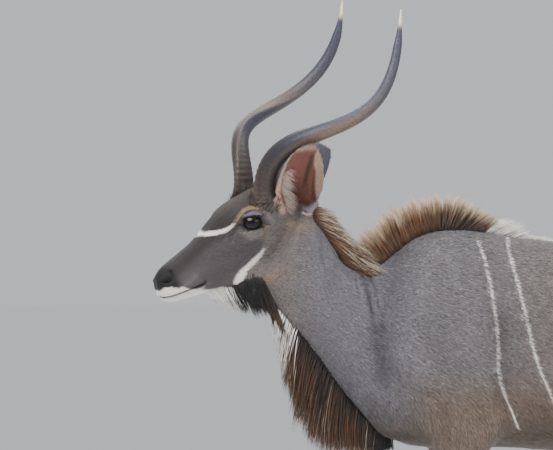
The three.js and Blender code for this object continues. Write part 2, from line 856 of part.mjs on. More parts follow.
// Tail and the hair that stands off the body
const tail = largest(tailShape().subtract(grown));
const brushCut = { normal: [0, 0, 1], offset: BRUSH_TOP + FLESH_GAP / 2 };
const brushEnd = { normal: [0, 0, -1], offset: -(BRUSH_TOP - FLESH_GAP / 2) };
node("tail", trimmed(tail, brushCut), MATERIALS.coat);
node("tail_brush", trimmed(tail, brushEnd), MATERIALS.beard);
[
  ["withers_mane", WITHERS_MANE, MATERIALS.hair],
  ["nape_mane", NAPE_MANE, MATERIALS.hair],
  ["back_crest", BACK_CREST, MATERIALS.white],
  ["throat_fringe", THROAT_FRINGE, MATERIALS.beard],
  ["beard", BEARD, MATERIALS.beard],
].forEach(([name, rows, paint]) => {
  node(name, largest(hair(rows, 0).subtract(taken)), paint);
  taken = taken.add(hair(rows, GROWN));
});

// The part's origin is the middle of its box, on the floor
const group = new THREE.Group();
group.name = "greater_kudu";
const box = new THREE.Box3();
nodes.forEach((mesh) => box.union(new THREE.Box3().setFromBufferAttribute(
  mesh.geometry.getAttribute("position"),
)));
nodes.forEach((mesh) => {
  mesh.geometry.translate(-(box.min.x + box.max.x) / 2, -(box.min.y + box.max.y) / 2, -box.min.z);
  group.add(mesh);
});

export default group;
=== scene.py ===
import math

import bmesh
import bpy
import numpy as np
from mathutils import Matrix, Vector
from mathutils.bvhtree import BVHTree


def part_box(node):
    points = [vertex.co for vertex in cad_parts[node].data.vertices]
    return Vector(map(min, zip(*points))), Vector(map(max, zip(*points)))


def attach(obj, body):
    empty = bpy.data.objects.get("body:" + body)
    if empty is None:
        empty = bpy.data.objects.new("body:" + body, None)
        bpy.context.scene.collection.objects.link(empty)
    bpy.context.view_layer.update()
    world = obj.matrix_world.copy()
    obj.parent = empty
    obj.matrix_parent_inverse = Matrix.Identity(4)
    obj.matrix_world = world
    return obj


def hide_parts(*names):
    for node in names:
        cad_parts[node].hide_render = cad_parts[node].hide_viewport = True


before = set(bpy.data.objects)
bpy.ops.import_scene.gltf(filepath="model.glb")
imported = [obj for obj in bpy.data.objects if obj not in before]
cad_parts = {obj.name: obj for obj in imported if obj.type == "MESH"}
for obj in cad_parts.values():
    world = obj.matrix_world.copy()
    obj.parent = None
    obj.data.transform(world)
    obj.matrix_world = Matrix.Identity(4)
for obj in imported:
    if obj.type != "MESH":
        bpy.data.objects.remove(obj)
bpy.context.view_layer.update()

MM = 0.001
PICTURE = (553, 450)

# Places

left_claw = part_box("hoof_front_left_outer")
right_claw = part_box("hoof_front_right_outer")
STAND = np.array([(left_claw[1].x + right_claw[0].x) / 2, left_claw[1].y - 15 * MM, 0.0])

CROWN = (70, -545, 1407)
HEAD_TURN, HEAD_NOD, HEAD_ROLL = 20, 40, 7


def place(x, y, z):
    """A point measured in millimetres from the left forefoot's middle line."""
    return STAND + np.array([x, y, z], float) * MM


HEAD = (
    Matrix.Translation(Vector(place(*CROWN)))
    @ Matrix.Rotation(math.radians(HEAD_TURN), 4, "Z")
    @ Matrix.Rotation(math.radians(HEAD_NOD), 4, "X")
    @ Matrix.Rotation(math.radians(HEAD_ROLL), 4, "Y")
)
HEAD_TURNED = np.array(HEAD.to_3x3())
HEAD_AT = np.array(HEAD.translation)


def on_head(forward, up, out):
    """A point of the head, measured in millimetres from the crown."""
    return HEAD_AT + HEAD_TURNED @ (np.array([out, -forward, up], float) * MM)


def along_head(forward, up, out):
    """A direction of the head, as a unit vector of the scene."""
    way = HEAD_TURNED @ np.array([out, -forward, up], float)
    return way / np.linalg.norm(way)


def head_measures(points):
    """Forward, up and out of each point, in millimetres from the crown."""
    local = (points - HEAD_AT) @ HEAD_TURNED / MM
    return -local[:, 1], local[:, 2], local[:, 0]


def body_measures(points):
    """Left, back and up of each point, in millimetres from the left forefoot's line."""
    local = (points - STAND) / MM
    return local[:, 0], local[:, 1], local[:, 2]


# Camera

VIEW_TURN = math.radians(84)
VIEW_RIGHT = np.array([math.cos(VIEW_TURN), math.sin(VIEW_TURN), 0.0])
VIEW_BACK = np.array([math.sin(VIEW_TURN), -math.cos(VIEW_TURN), 0.0])
VIEW_DISTANCE = 30.0
PIXEL = 2.5 * MM
AIM_RIGHT, AIM_BACK, AIM_HEIGHT = -0.45875, 0.1, 1.3225
AIM = STAND + VIEW_RIGHT * AIM_RIGHT + VIEW_BACK * AIM_BACK + np.array([0, 0, AIM_HEIGHT])


def make_camera():
    """The view of the photo, from far off on the animal's left."""
    data = bpy.data.cameras.new("view")
    data.sensor_width = 36
    data.lens = data.sensor_width * VIEW_DISTANCE / (PICTURE[0] * PIXEL)
    data.clip_end = 200
    camera = bpy.data.objects.new("view", data)
    camera.location = Vector(AIM + VIEW_BACK * VIEW_DISTANCE)
    camera.rotation_mode = "QUATERNION"
    camera.rotation_quaternion = Vector(-VIEW_BACK).to_track_quat("-Z", "Y")
    bpy.context.scene.collection.objects.link(camera)
    bpy.context.scene.camera = camera


make_camera()

# Small tools


def eased(x, low, high):
    """0 below low, 1 above high and a smooth rise between."""
    t = np.clip((x - low) / (high - low), 0, 1)
    return t * t * (3 - 2 * t)


def hill(distance, width):
    """1 at no distance, falling smoothly to nothing past the width."""
    return np.exp(-((distance / width) ** 2))


def from_path(points, path, reach=1e9):
    """Distance of each point from a path, and the share of the path passed there."""
    path = np.asarray(path, float)
    distance = np.full(len(points), 1e9)
    share = np.zeros(len(points))
    low, high = path.min(0) - reach, path.max(0) + reach
    near = np.nonzero(((points > low) & (points < high)).all(1))[0]
    if len(near) == 0:
        return distance, share
    kept = points[near]
    best = np.full(len(near), 1e9)
    at = np.zeros(len(near))
    last = len(path) - 1
    for i in range(last):
        a, step = path[i], path[i + 1] - path[i]
        t = np.clip(((kept - a) @ step) / max(step @ step, 1e-12), 0, 1)
        away = np.linalg.norm(kept - a - t[:, None] * step, axis=1)
        closer = away < best
        best[closer] = away[closer]
        at[closer] = (i + t[closer]) / last
    distance[near], share[near] = best, at
    return distance, share


def unit(vectors):
    """Vectors drawn to the length of 1."""
    return vectors / np.maximum(np.linalg.norm(vectors, axis=-1, keepdims=True), 1e-12)


def positions(mesh):
    """The points of a mesh as rows."""
    co = np.zeros(len(mesh.vertices) * 3, np.float32)
    mesh.vertices.foreach_get("co", co)
    return co.reshape(-1, 3).astype(float)


def set_positions(mesh, co):
    """Moves the points of a mesh."""
    mesh.vertices.foreach_set("co", co.astype(np.float32).ravel())
    mesh.update()


def vertex_normals(mesh):
    """The way each point of a mesh faces."""
    no = np.zeros(len(mesh.vertices) * 3, np.float32)
    mesh.vertices.foreach_get("normal", no)
    return no.reshape(-1, 3).astype(float)


def mesh_edges(mesh):
    """The two ends of each edge of a mesh."""
    ends = np.zeros(len(mesh.edges) * 2, np.int32)
    mesh.edges.foreach_get("vertices", ends)
    return ends.reshape(-1, 2)


def relaxed(co, edges, amount, rounds):
    """Draws each point towards the middle of its neighbours, a few rounds."""
    count = len(co)
    both = np.concatenate([edges[:, 0], edges[:, 1]])
    other = np.concatenate([edges[:, 1], edges[:, 0]])
    degree = np.maximum(np.bincount(both, minlength=count), 1)
    for _ in range(rounds):
        middle = np.stack(
            [np.bincount(both, co[other, k], count) / degree for k in range(3)], axis=1
        )
        co = co + amount[:, None] * (middle - co)
    return co


def new_piece(name, mesh, finish):
    """A finished piece of the visual model."""
    piece = bpy.data.objects.new(name, mesh)
    bpy.context.scene.collection.objects.link(piece)
    mesh.materials.append(finish)
    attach(piece, "root")
    return piece


def linear(red, green, blue):
    """A colour as it is seen, from 0 to 255, turned to the linear light of the shaders."""
    value = np.array([red, green, blue], float) / 255
    return np.where(value <= 0.04045, value / 12.92, ((value + 0.055) / 1.055) ** 2.4)


# The skin

HORN_BASE = (-22, -12, 55)
HORN_TIP = (-562, 140, 144)
HORN_BOW = 101
HORN_STEPS = 190
HORN_SIDES = 36
HORN_SUNK = 0.05
HORN_RADIUS = 27
HORN_KEEL = 6
HORN_ROLL = 240
HORN_DARK = linear(38, 35, 38)
HORN_GREY = linear(58, 59, 70)
HORN_TAN = linear(100, 82, 66)
HORN_BROWN = linear(60, 48, 38)
IVORY = linear(226, 208, 178)


def horn_middle(share):
    """The middle line of the left horn, in the head's own millimetres."""
    base = np.array([HORN_BASE[2], -HORN_BASE[0], HORN_BASE[1]], float)
    tip = np.array([HORN_TIP[2], -HORN_TIP[0], HORN_TIP[1]], float)
    along = unit(tip - base)
    up = np.array([0, 0, 1.0])
    up = unit(up - along * (up @ along))
    inward = np.cross(up, along)
    turn = math.radians(10 - 180 * share - 125 * share * (1 - share))
    bow = HORN_BOW * 4 * share * (1 - share)
    return base + (tip - base) * share + bow * (math.cos(turn) * up + math.sin(turn) * inward)


def horn_place(share, side):
    """A point of a horn's middle line, in the scene."""
    return HEAD_AT + HEAD_TURNED @ (horn_middle(share) * np.array([side, 1, 1]) * MM)


FLESH = [
    "head", "lower_jaw", "neck", "trunk", "tail", "ear_left", "ear_right",
    "leg_front_left", "leg_front_right", "leg_rear_left", "leg_rear_right",
]
EYE = (56, -47, 58)
EYE_RADIUS = 21
EYE_GAZE = (0.3, 0.14, 0.94)
EYE_LONG = 1.25
NECK_PLANE_HIGH = (-312, 1256)
NECK_PLANE_LOW = (-441, 1058)
NECK_TURN = 17
HEAD_ENDS = (-457, 1272)
# Balls that fill the throat out: forward, up, radius, out
THROAT = [
    (184, -138, 22, 22), (162, -147, 26, 20), (144, -153, 30, 18), (117, -169, 34, 22),
    (92, -182, 38, 22), (60, -192, 44, 16), (86, -251, 34, 18), (92, -280, 34, 16),
    (96, -303, 34, 14), (100, -336, 32, 10),
]
# Balls at the foot of the near ear: forward, up, out, radius
EAR_CUP = [(-88, -127, 68, 17), (-106, -124, 72, 14), (-72, -124, 66, 12), (-120, -114, 76, 10)]
FLESH_GROWTH = 1.2
CUT_GAP = 3
HORN_ROOT_RADIUS = 28
HEAD_VOXEL = 4.0
BODY_VOXEL = 11.8
SMOOTH_ROUNDS = 46
LOWER_LEG = 520


def grown_copies(names, balls=()):
    """Copies of the CAD flesh, each a little fuller so that they meet."""
    joined = bmesh.new()
    for name in names:
        part = bmesh.new()
        part.from_mesh(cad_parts[name].data)
        bmesh.ops.remove_doubles(part, verts=part.verts, dist=0.02 * MM)
        part.normal_update()
        for vert in part.verts:
            vert.co += vert.normal * FLESH_GROWTH * MM
        mesh = bpy.data.meshes.new(name + "_fuller")
        part.to_mesh(mesh)
        part.free()
        joined.from_mesh(mesh)
        bpy.data.meshes.remove(mesh)
    for centre, radius in balls:
        bmesh.ops.create_icosphere(
            joined, subdivisions=3, radius=radius, matrix=Matrix.Translation(Vector(centre))
        )
    return joined


def remeshed(joined, voxel):
    """One closed surface round all the shells of a mesh."""
    mesh = bpy.data.meshes.new("flesh_copy")
    joined.to_mesh(mesh)
    joined.free()
    holder = bpy.data.objects.new("flesh_copy", mesh)
    bpy.context.scene.collection.objects.link(holder)
    change = holder.modifiers.new("remesh", "REMESH")
    change.mode = "VOXEL"
    change.voxel_size = voxel * MM
    depsgraph = bpy.context.evaluated_depsgraph_get()
    made = bpy.data.meshes.new_from_object(holder.evaluated_get(depsgraph))
    bpy.data.objects.remove(holder)
    return made


def largest_island(shape):
    """Keeps the biggest connected surface, and drops the walls of closed hollows."""
    left = set(shape.verts)
    islands = []
    while left:
        seed = left.pop()
        island, edge = {seed}, [seed]
        while edge:
            vert = edge.pop()
            for link in vert.link_edges:
                other = link.other_vert(vert)
                if other in left:
                    left.remove(other)
                    island.add(other)
                    edge.append(other)
        islands.append(island)
    islands.sort(key=len)
    for island in islands[:-1]:
        bmesh.ops.delete(shape, geom=list(island), context="VERTS")


def skin_from_flesh():
    """The skin in two remeshed parts, head fine and body coarse, cut and joined at the neck."""
    high = place(50, *NECK_PLANE_HIGH)
    low = place(50, *NECK_PLANE_LOW)
    turn = math.radians(NECK_TURN)
    side = np.array([math.cos(turn), math.sin(turn), 0])
    normal = np.cross(unit(high - low), side)
    if normal[1] < 0:
        normal = -normal
    balls = [(on_head(EYE[0], EYE[1], s * EYE[2]), (EYE_RADIUS + 0.8) * MM) for s in (1, -1)]
    balls += [(horn_place(t, s), HORN_ROOT_RADIUS * MM) for s in (1, -1) for t in (-0.045, -0.09)]
    balls += [(on_head(f, u, s * o), r * MM) for s in (1, -1) for f, u, r, o in THROAT]
    balls += [(on_head(f, u, o), r * MM) for f, u, o, r in EAR_CUP]
    front = remeshed(
        grown_copies(["head", "lower_jaw", "neck", "ear_left", "ear_right"], balls), HEAD_VOXEL
    )
    back = remeshed(grown_copies([n for n in FLESH if not n.startswith("ear")]), BODY_VOXEL)
    skin = bmesh.new()
    for mesh, shift, keep in ((front, -CUT_GAP, 1), (back, CUT_GAP, -1)):
        part = bmesh.new()
        part.from_mesh(mesh)
        bmesh.ops.bisect_plane(
            part,
            geom=part.verts[:] + part.edges[:] + part.faces[:],
            plane_co=Vector(high + normal * shift * MM),
            plane_no=Vector(normal),
            clear_outer=keep > 0,
            clear_inner=keep < 0,
        )
        largest_island(part)
        part.to_mesh(mesh)
        part.free()
        skin.from_mesh(mesh)
        bpy.data.meshes.remove(mesh)
    rims = [edge for edge in skin.edges if edge.is_boundary]
    bmesh.ops.bridge_loops(skin, edges=rims)
    bmesh.ops.recalc_face_normals(skin, faces=skin.faces)
    made = bpy.data.meshes.new("skin")
    skin.to_mesh(made)
    skin.free()
    return made


EARS = {
    1: {"base": (-57, -122, 62), "tip": (-131, 72, 219), "across": (-0.764, -0.628, 0.147),
        "facing": 1},
    -1: {"base": (-57, -122, 58), "tip": (-305, -133, 135), "across": (-0.4, -0.9, 0.05),
         "facing": -1},
}


def ear_axes(side):
    """Foot of an ear, its ways along, across and towards the opening, and its length."""
    ear = EARS[side]
    base = on_head(ear["base"][0], ear["base"][1], side * ear["base"][2])
    tip = on_head(ear["tip"][0], ear["tip"][1], side * ear["tip"][2])
    length = np.linalg.norm(tip - base)
    along = (tip - base) / length
    across = along_head(*ear["across"])
    across = unit(across - along * (across @ along))
    opening = np.cross(across, along) * ear["facing"]
    return base, along, across, opening, length


def ear_measures(points, side):
    """Share of the ear's length, and how far across and towards the opening, in mm."""
    base, along, across, opening, length = ear_axes(side)
    local = points - base
    return local @ along / length, local @ across / MM, local @ opening / MM


# Share of the ear's length, shift of the middle, half width, depth of the cup
EAR_ROWS = np.array([
    (0, -2, 34, 26), (0.1, -5, 45, 36), (0.22, -8, 56, 42), (0.35, -11, 64, 42),
    (0.49, -11, 62, 37), (0.62, -11, 58, 30), (0.76, -12, 50, 19), (0.87, -11, 39, 11),
    (0.95, -8, 26, 6), (1, 0, 6, 3),
])


def ear_row(share):
    """Shift of the middle, half width and depth of the cup at a share of the ear."""
    return [np.interp(share, EAR_ROWS[:, 0], EAR_ROWS[:, k]) for k in (1, 2, 3)]


def on_ear(points):
    """How much of a point belongs to an ear, 0 to 1, and which one."""
    weight = np.zeros(len(points))
    which = np.zeros(len(points))
    for side in (1, -1):
        share, across, toward = ear_measures(points, side)
        shift, half, deep = ear_row(share)
        off = np.hypot((across - shift) / (half + 6), np.minimum(toward, 0) / (deep + 6))
        here = eased(share, 0.02, 0.1) * (share < 1.1) * (1 - eased(off, 0.98, 1.14))
        here = here * (toward < 12)
        which = np.where(here > weight, side, which)
        weight = np.maximum(weight, here)
    return weight, which


def on_front(points):
    """1 on the head, fading to 0 at the top of the neck."""
    _, y, z = body_measures(points)
    behind = (y - HEAD_ENDS[0]) * 0.910 - (z - HEAD_ENDS[1]) * 0.414
    return 1 - eased(behind, 0, 80)


def eye_axes(side):
    """Centre of an eye, its gaze, and the ways ahead and above in its opening."""
    centre = on_head(EYE[0], EYE[1], side * EYE[2])
    gaze = along_head(EYE_GAZE[0], EYE_GAZE[1], side * EYE_GAZE[2])
    ahead = along_head(0.85, 0.52, 0)
    ahead = unit(ahead - gaze * (ahead @ gaze))
    above = np.cross(gaze, ahead)
    return centre, gaze, ahead, above * np.sign(above @ along_head(0, 1, 0))


def in_eye(points, side):
    """Places about an eye's centre, in mm, with the eye's length drawn back to a round."""
    centre, _, ahead, _ = eye_axes(side)
    local = (points - centre) / MM
    return local - ahead * ((local @ ahead) * (1 - 1 / EYE_LONG))[:, None]


def from_eye(ways, distance, side):
    """The places that in_eye turns into these ways and distances."""
    centre, _, ahead, _ = eye_axes(side)
    local = ways * np.reshape(distance, (-1, 1))
    return centre + (local + ahead * ((local @ ahead) * (EYE_LONG - 1))[:, None]) * MM


def eye_measures(points, side):
    """Angles ahead and above the eye's gaze, in degrees, and distance from its centre, mm."""
    _, gaze, ahead, above = eye_axes(side)
    local = in_eye(points, side)
    distance = np.linalg.norm(local, axis=1)
    way = local / np.maximum(distance, 1e-9)[:, None]
    turn = np.degrees(np.arctan2(way @ ahead, way @ gaze))
    lift = np.degrees(np.arcsin(np.clip(way @ above, -1, 1)))
    return turn, lift, distance


LID_LENGTH = 82
LID_UPPER, LID_LOWER = 47, 50
LID_POWER = 0.5


def lid_edge(turn, lift):
    """Degrees outside the opening between the lids; below zero inside it."""
    share = np.clip(1 - (turn / LID_LENGTH) ** 2, 0, 1)
    half = np.where(lift > 0, LID_UPPER, LID_LOWER) * share ** LID_POWER
    beyond = np.maximum(np.abs(turn) - LID_LENGTH, 0)
    return np.hypot(np.maximum(np.abs(lift) - half, 0), beyond) + np.minimum(
        np.abs(lift) - half, 0
    ) * (beyond == 0)


def flat_path(a, b, path):
    """Distance, in the plane of two measures, from a path."""
    flat = np.stack([a, b, np.zeros_like(a)], axis=1)
    line = np.array([(p[0], p[1], 0) for p in path], float)
    return from_path(flat, line)[0]


MOUTH = [(354, -50), (343, -56), (323, -65), (297, -75), (284, -80), (268, -86), (248, -92)]
NOSTRIL = [(326, -19), (319, -25), (310, -25), (302, -19), (297, -10)]


# Bones and muscles of the head: height, width, and a line of (forward, up)
HEAD_SHAPES = (
    (4.0, 9, [(104, -20), (84, -6), (56, -4), (32, -20)]),
    (-4.0, 20, [(14, -52), (-8, -66)]),
    (3.0, 10, [(116, -80), (72, -88), (30, -84), (4, -78)]),
    (-2.2, 6, [(92, -30), (118, -40), (136, -52)]),
    (3.5, 34, [(40, -140), (14, -132)]),
    (-4.0, 18, [(128, -96), (180, -66), (246, -46)]),
    (1.8, 9, [(10, -192), (90, -184), (170, -152), (235, -128)]),
    (2.6, 13, [(330, -42), (300, -58)]),
    (1.6, 9, [(332, -80), (300, -94)]),
    (-2.0, 7, [(252, -104), (232, -112)]),
)
# The same for the fore part and the hind part of the body, with lines of (back, up)
FORE_SHAPES = (
    (4.5, 26, [(-70, 1250), (-118, 1130), (-150, 1000)]),
    (-6.0, 26, [(-150, 1250), (-190, 1130), (-206, 1010), (-196, 930)]),
    (5.0, 34, [(-140, 975), (-120, 950)]),
    (4.0, 55, [(20, 1000), (30, 930)]),
    (-5.0, 22, [(88, 1080), (96, 960), (84, 880)]),
    (-3.2, 18, [(60, 1230), (70, 1130), (88, 1040)]),
    (3.0, 16, [(-30, 1240), (0, 1120), (10, 1060)]),
    (-3.5, 16, [(-70, 900), (-50, 830), (-40, 780)]),
    (4.0, 18, [(74, 850), (66, 820)]),
)
HIND_SHAPES = (
    (-10.0, 55, [(660, 1200), (700, 1150)]),
    (8.0, 30, [(772, 1252)]),
    (6.0, 24, [(716, 1010), (748, 900), (772, 850)]),
    (-5.0, 22, [(690, 930), (712, 850)]),
    (-4.5, 14, [(1010, 1170), (1006, 1040), (1012, 920), (1020, 840)]),
    (5.0, 60, [(900, 1120), (920, 980)]),
    (-3.0, 16, [(850, 1120), (862, 980), (880, 860)]),
    (5.0, 26, [(1086, 1190)]),
)


def raised(form, a, b, shapes):
    """Adds to a form the hills along the lines of a table."""
    for height, width, line in shapes:
        form = form + height * hill(flat_path(a, b, line), width)
    return form


def head_forms(points, normals):
    """How far the bones and muscles of the head stand out, in mm."""
    forward, up, out = head_measures(points)
    side = eased(np.abs(normals @ along_head(0, 0, 1)), 0.2, 0.65)
    top = eased(normals @ along_head(0, 1, 0), 0.1, 0.7)
    off_ear = 1 - on_ear(points)[0]
    head = eased(forward + 0.35 * up, -190, -110)
    form = raised(np.zeros(len(points)), forward, up, HEAD_SHAPES)
    form *= side
    ridge = np.abs(np.abs(out) - 19)
    form += top * 1.6 * hill(ridge, 7) * eased(forward, 60, 110) * (1 - eased(forward, 270, 310))
    form -= top * 1.8 * hill(out, 9) * eased(forward, 110, 150) * (1 - eased(forward, 260, 300))
    form -= 2.0 * hill(out, 3.5) * eased(forward, 338, 350)
    form += top * 3.2 * hill(forward - 168, 62)
    return form * off_ear * head


BODY_RELIEF = 1.8
FRONT_HEEL, REAR_HEEL = 0, 1014
# Heel, side, and how far the foot is set back from it
LEGS = ((FRONT_HEEL, 1, 0), (FRONT_HEEL, -1, 64), (REAR_HEEL, 1, 26), (REAR_HEEL, -1, -96))
# Depth, width and line of each fold
NECK_FOLDS = (
    (12, 6.5, [(-252, 1212), (-243, 1170), (-237, 1130), (-228, 1060)]),
    (9, 5.0, [(-236, 1208), (-225, 1165), (-217, 1100)]),
    (4, 5.0, [(-268, 1212), (-262, 1170), (-256, 1110)]),
    (3, 4.0, [(-222, 1200), (-212, 1170)]),
)


def body_forms(points, normals):
    """How far the bones, muscles and folds of the body and legs stand out, in mm."""
    x, y, z = body_measures(points)
    side = eased(np.abs(normals[:, 0]), 0.2, 0.7)

    def path(places):
        return flat_path(y, z, places)

    form = raised(np.zeros(len(points)), y, z, FORE_SHAPES)
    ribs = np.sin((y - 0.35 * (1100 - z)) / 40 * 2 * np.pi) * 1.1
    cage = eased(y, 130, 220) * (1 - eased(y, 520, 640)) * eased(z, 800, 880)
    form += ribs * cage * (1 - eased(z, 1160, 1240))
    form = raised(form, y, z, HIND_SHAPES)
    form *= BODY_RELIEF
    for deep, wide, line in NECK_FOLDS:
        form -= deep * hill(path(line), wide) * eased(z, line[-1][1] - 10, line[-1][1] + 70)
    ridge = path([(-245, 1195), (-230, 1165), (-224, 1120), (-220, 1070)])
    form += 3.0 * hill(ridge, 5) * eased(z, 1060, 1120)
    wing = path([(-379, 1325), (-370, 1285), (-367, 1235), (-356, 1180)])
    groove = hill(path([(-366, 1330), (-353, 1285), (-349, 1240)]), 10)
    form += np.where(x > 0, 1.0, 0.4) * (4.0 * hill(wing, 16) - 4.5 * groove)
    form -= 9.0 * hill(path([(-222, 1050), (-206, 960)]), 24)
    form -= 3.0 * hill(path([(-420, 1130), (-350, 1030), (-280, 930)]), 22)
    form -= 3.0 * hill(path([(98, 880), (92, 820), (80, 780)]), 9)
    form *= side
    form += 5.0 * hill(path([(-205, 800), (-190, 900)]), 30) * (1 - side)
    breast = eased(-y, 130, 180) * eased(z, 720, 780) * (1 - eased(z, 930, 1000)) * (1 - side)
    form += breast * (6 * hill(np.abs(x) - 46, 24) - 7 * hill(x, 13))
    for heel, sign, stride in LEGS:
        mine = (x * sign > 0) * (np.abs(y - heel - 20) < 220) * (z < 700)
        back = y - stride * np.clip(1 - z / 900, 0, 1) ** 1.5
        if heel == FRONT_HEEL:
            tendon = flat_path(back, z, [(8, 350), (6, 170)])
            form -= mine * side * 2.4 * hill(tendon, 5)
            form += mine * 1.6 * hill(flat_path(back, z, [(-20, 408)]), 24)
            form -= mine * side * 2.5 * hill(flat_path(back, z, [(2, 700), (0, 480)]), 9)
        else:
            tendon = flat_path(back, z, [(1024, 380), (1022, 180)])
            form -= mine * side * 2.4 * hill(tendon, 5)
            thigh = flat_path(back, z, [(1010, 690), (1040, 560)])
            form -= mine * side * 6.0 * hill(thigh, 14)
            form += mine * 2.0 * hill(flat_path(back, z, [(1080, 490)]), 16)
    return form


def set_smoothness(points):
    """How strongly each place is smoothed: the legs and tail least."""
    _, y, z = body_measures(points)
    legs = eased(-z, -800, -600)
    tail = eased(y, 1130, 1150)
    return 0.5 * (1 - 0.93 * np.maximum(legs, 0.8 * tail))


def finer(mesh, near, cuts=1):
    """Halves the edges near the places that need fine work."""
    shape = bmesh.new()
    shape.from_mesh(mesh)
    inside = near(np.array([vert.co[:] for vert in shape.verts]))
    shape.verts.ensure_lookup_table()
    edges = [
        edge for edge in shape.edges if inside[edge.verts[0].index] and inside[edge.verts[1].index]
    ]
    bmesh.ops.subdivide_edges(shape, edges=edges, cuts=cuts, use_grid_fill=True)
    shape.to_mesh(mesh)
    shape.free()


def near_eyes(points):
    """The places about the lids."""
    found = np.zeros(len(points), bool)
    for side in (1, -1):
        turn, lift, distance = eye_measures(points, side)
        found |= (distance < 34) & (lid_edge(turn, lift) < 12) & (np.abs(turn) < 100)
    return found


def near_nose(points):
    """The places about the nostrils, the mouth and the lids."""
    forward, up, out = head_measures(points)
    nose = (flat_path(forward, up, NOSTRIL) < 13) & (np.abs(out) > 8)
    mouth = (flat_path(forward, up, MOUTH) < 6) & (np.abs(out) > 2)
    return near_eyes(points) | nose | mouth


def fine_forms(points, normals):
    """Moves the skin for the lids, nostrils and mouth."""
    forward, up, _ = head_measures(points)
    moved = points.copy()
    side = eased(np.abs(normals @ along_head(0, 0, 1)), 0.05, 0.4)
    front = eased(normals @ along_head(1, 0, 0), 0.3, 0.8)
    slit = flat_path(forward, up, MOUTH)
    form = -4.2 * hill(slit, 2.6) * np.maximum(side, front)
    form += 1.3 * hill(slit - 7, 4) * side
    hole = flat_path(forward, up, NOSTRIL)
    wing = flat_path(forward, up, [(336, -12), (322, -13), (311, -12)])
    form -= 8.0 * hill(hole, 4.2) * side
    form += 1.8 * hill(wing, 4.0) * side
    moved += normals * (form * MM)[:, None]
    for mirror in (1, -1):
        turn, lift, distance = eye_measures(moved, mirror)
        edge = lid_edge(turn, lift)
        near = (distance < 40) & (np.abs(turn) < 110)
        rim = EYE_RADIUS + 2.4 + 0.9 * hill(edge - 7, 6) * (lift > 0) - 1.4 * hill(edge - 22, 5)
        hollow = EYE_RADIUS - 3.2
        wanted = hollow + (rim - hollow) * eased(edge, -1.6, 1.6)
        kept = np.where(edge > 1.6, np.maximum(distance, wanted), wanted)
        fade = 1 - eased(edge, 26, 60)
        kept = np.where(edge > 1.6, distance + (kept - distance) * fade, kept)
        kept = np.where(near, kept, distance)
        ways = unit(in_eye(moved, mirror))
        moved = np.where(near[:, None], from_eye(ways, kept, mirror), moved)
    return moved


def coat_depth(points):
    """How far the skin lies below the outline of the coat, in mm."""
    z = body_measures(points)[2]
    forward = head_measures(points)[0]
    ear = on_ear(points)[0]
    front = on_front(points)
    muzzle = eased(forward, 120, 300)
    depth = 4.2 - 3.2 * eased(-z, -760, -560)
    depth = depth * (1 - front) + (2.4 - 1.4 * muzzle) * front
    return depth * (1 - ear) + 0.5 * ear + 1.2


def near_hooves(points):
    """The lower legs."""
    return body_measures(points)[2] < LOWER_LEG


def near_folds(points):
    """The folds at the foot of the neck."""
    _, y, z = body_measures(points)
    return (y > -275) & (y < -175) & (z > 1020) & (z < 1220)


def legs_drawn_back(co):
    """Puts the thin parts of the skin, legs and tail, back on the modelled outline."""
    flesh = bmesh.new()
    for name in FLESH:
        flesh.from_mesh(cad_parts[name].data)
    tree = BVHTree.FromBMesh(flesh)
    flesh.free()
    _, y, z = body_measures(co)
    weight = np.maximum(eased(-z, -700, -560), eased(y, 1130, 1150))
    moved = co.copy()
    for i in np.nonzero(weight > 0.01)[0]:
        found = tree.find_nearest(Vector(co[i]))[0]
        moved[i] = co[i] + weight[i] * (np.array(found) - co[i])
    return moved, weight


def shaped_skin():
    """The skin with its bones, muscles, folds, lids, nostrils and mouth."""
    mesh = skin_from_flesh()
    finer(mesh, near_hooves)
    finer(mesh, near_folds)
    co = positions(mesh)
    edges = mesh_edges(mesh)
    ear = on_ear(co)[0]
    front = np.maximum(on_front(co), ear)
    amount = np.where(front > 0.5, 0.5, set_smoothness(co)) * (1 - 0.8 * ear)
    co = relaxed(co, edges, amount, SMOOTH_ROUNDS)
    co, thin = legs_drawn_back(co)
    co = relaxed(co, edges, 0.4 * thin, 3)
    set_positions(mesh, co)
    normals = vertex_normals(mesh)
    form = head_forms(co, normals) + body_forms(co, normals) * (1 - on_front(co))
    co = co + normals * ((form - coat_depth(co)) * MM)[:, None]
    set_positions(mesh, co)
    finer(mesh, near_nose)
    finer(mesh, near_eyes)
    co = positions(mesh)
    near = near_nose(co)
    co = relaxed(co, mesh_edges(mesh), 0.4 * near, 4)
    set_positions(mesh, co)
    set_positions(mesh, fine_forms(co, vertex_normals(mesh)))
    for face in mesh.polygons:
        face.use_smooth = True
    return mesh


skin_mesh = shaped_skin()
skin_tree = BVHTree.FromPolygons(
    positions(skin_mesh).tolist(), [tuple(face.vertices) for face in skin_mesh.polygons]
)

# Markings and painted shade


def met(start, way):
    """Where a straight line meets the skin."""
    found = skin_tree.ray_cast(Vector(start), Vector(way).normalized())
    return None if found[0] is None else np.array(found[0])


def spaced(path, step):
    """The points of a path with more put between them."""
    made = [np.array(path[0], float)]
    for a, b in zip(path[:-1], path[1:]):
        a, b = np.array(a, float), np.array(b, float)
        count = max(1, int(np.ceil(np.linalg.norm(b - a) / step)))
        made += [a + (b - a) * (k + 1) / count for k in range(count)]
    return made


def from_view(path):
    """A line on the near side of the skin, drawn by where the view shows it."""
    eye = AIM + VIEW_BACK * VIEW_DISTANCE
    line = []
    for across, down in spaced(path, 3):
        right, below = across - PICTURE[0] / 2, down - PICTURE[1] / 2
        on_plane = AIM + VIEW_RIGHT * right * PIXEL - np.array([0, 0, below]) * PIXEL
        hit = met(eye, on_plane - eye)
        if hit is not None:
            line.append(hit)
    return np.array(line)


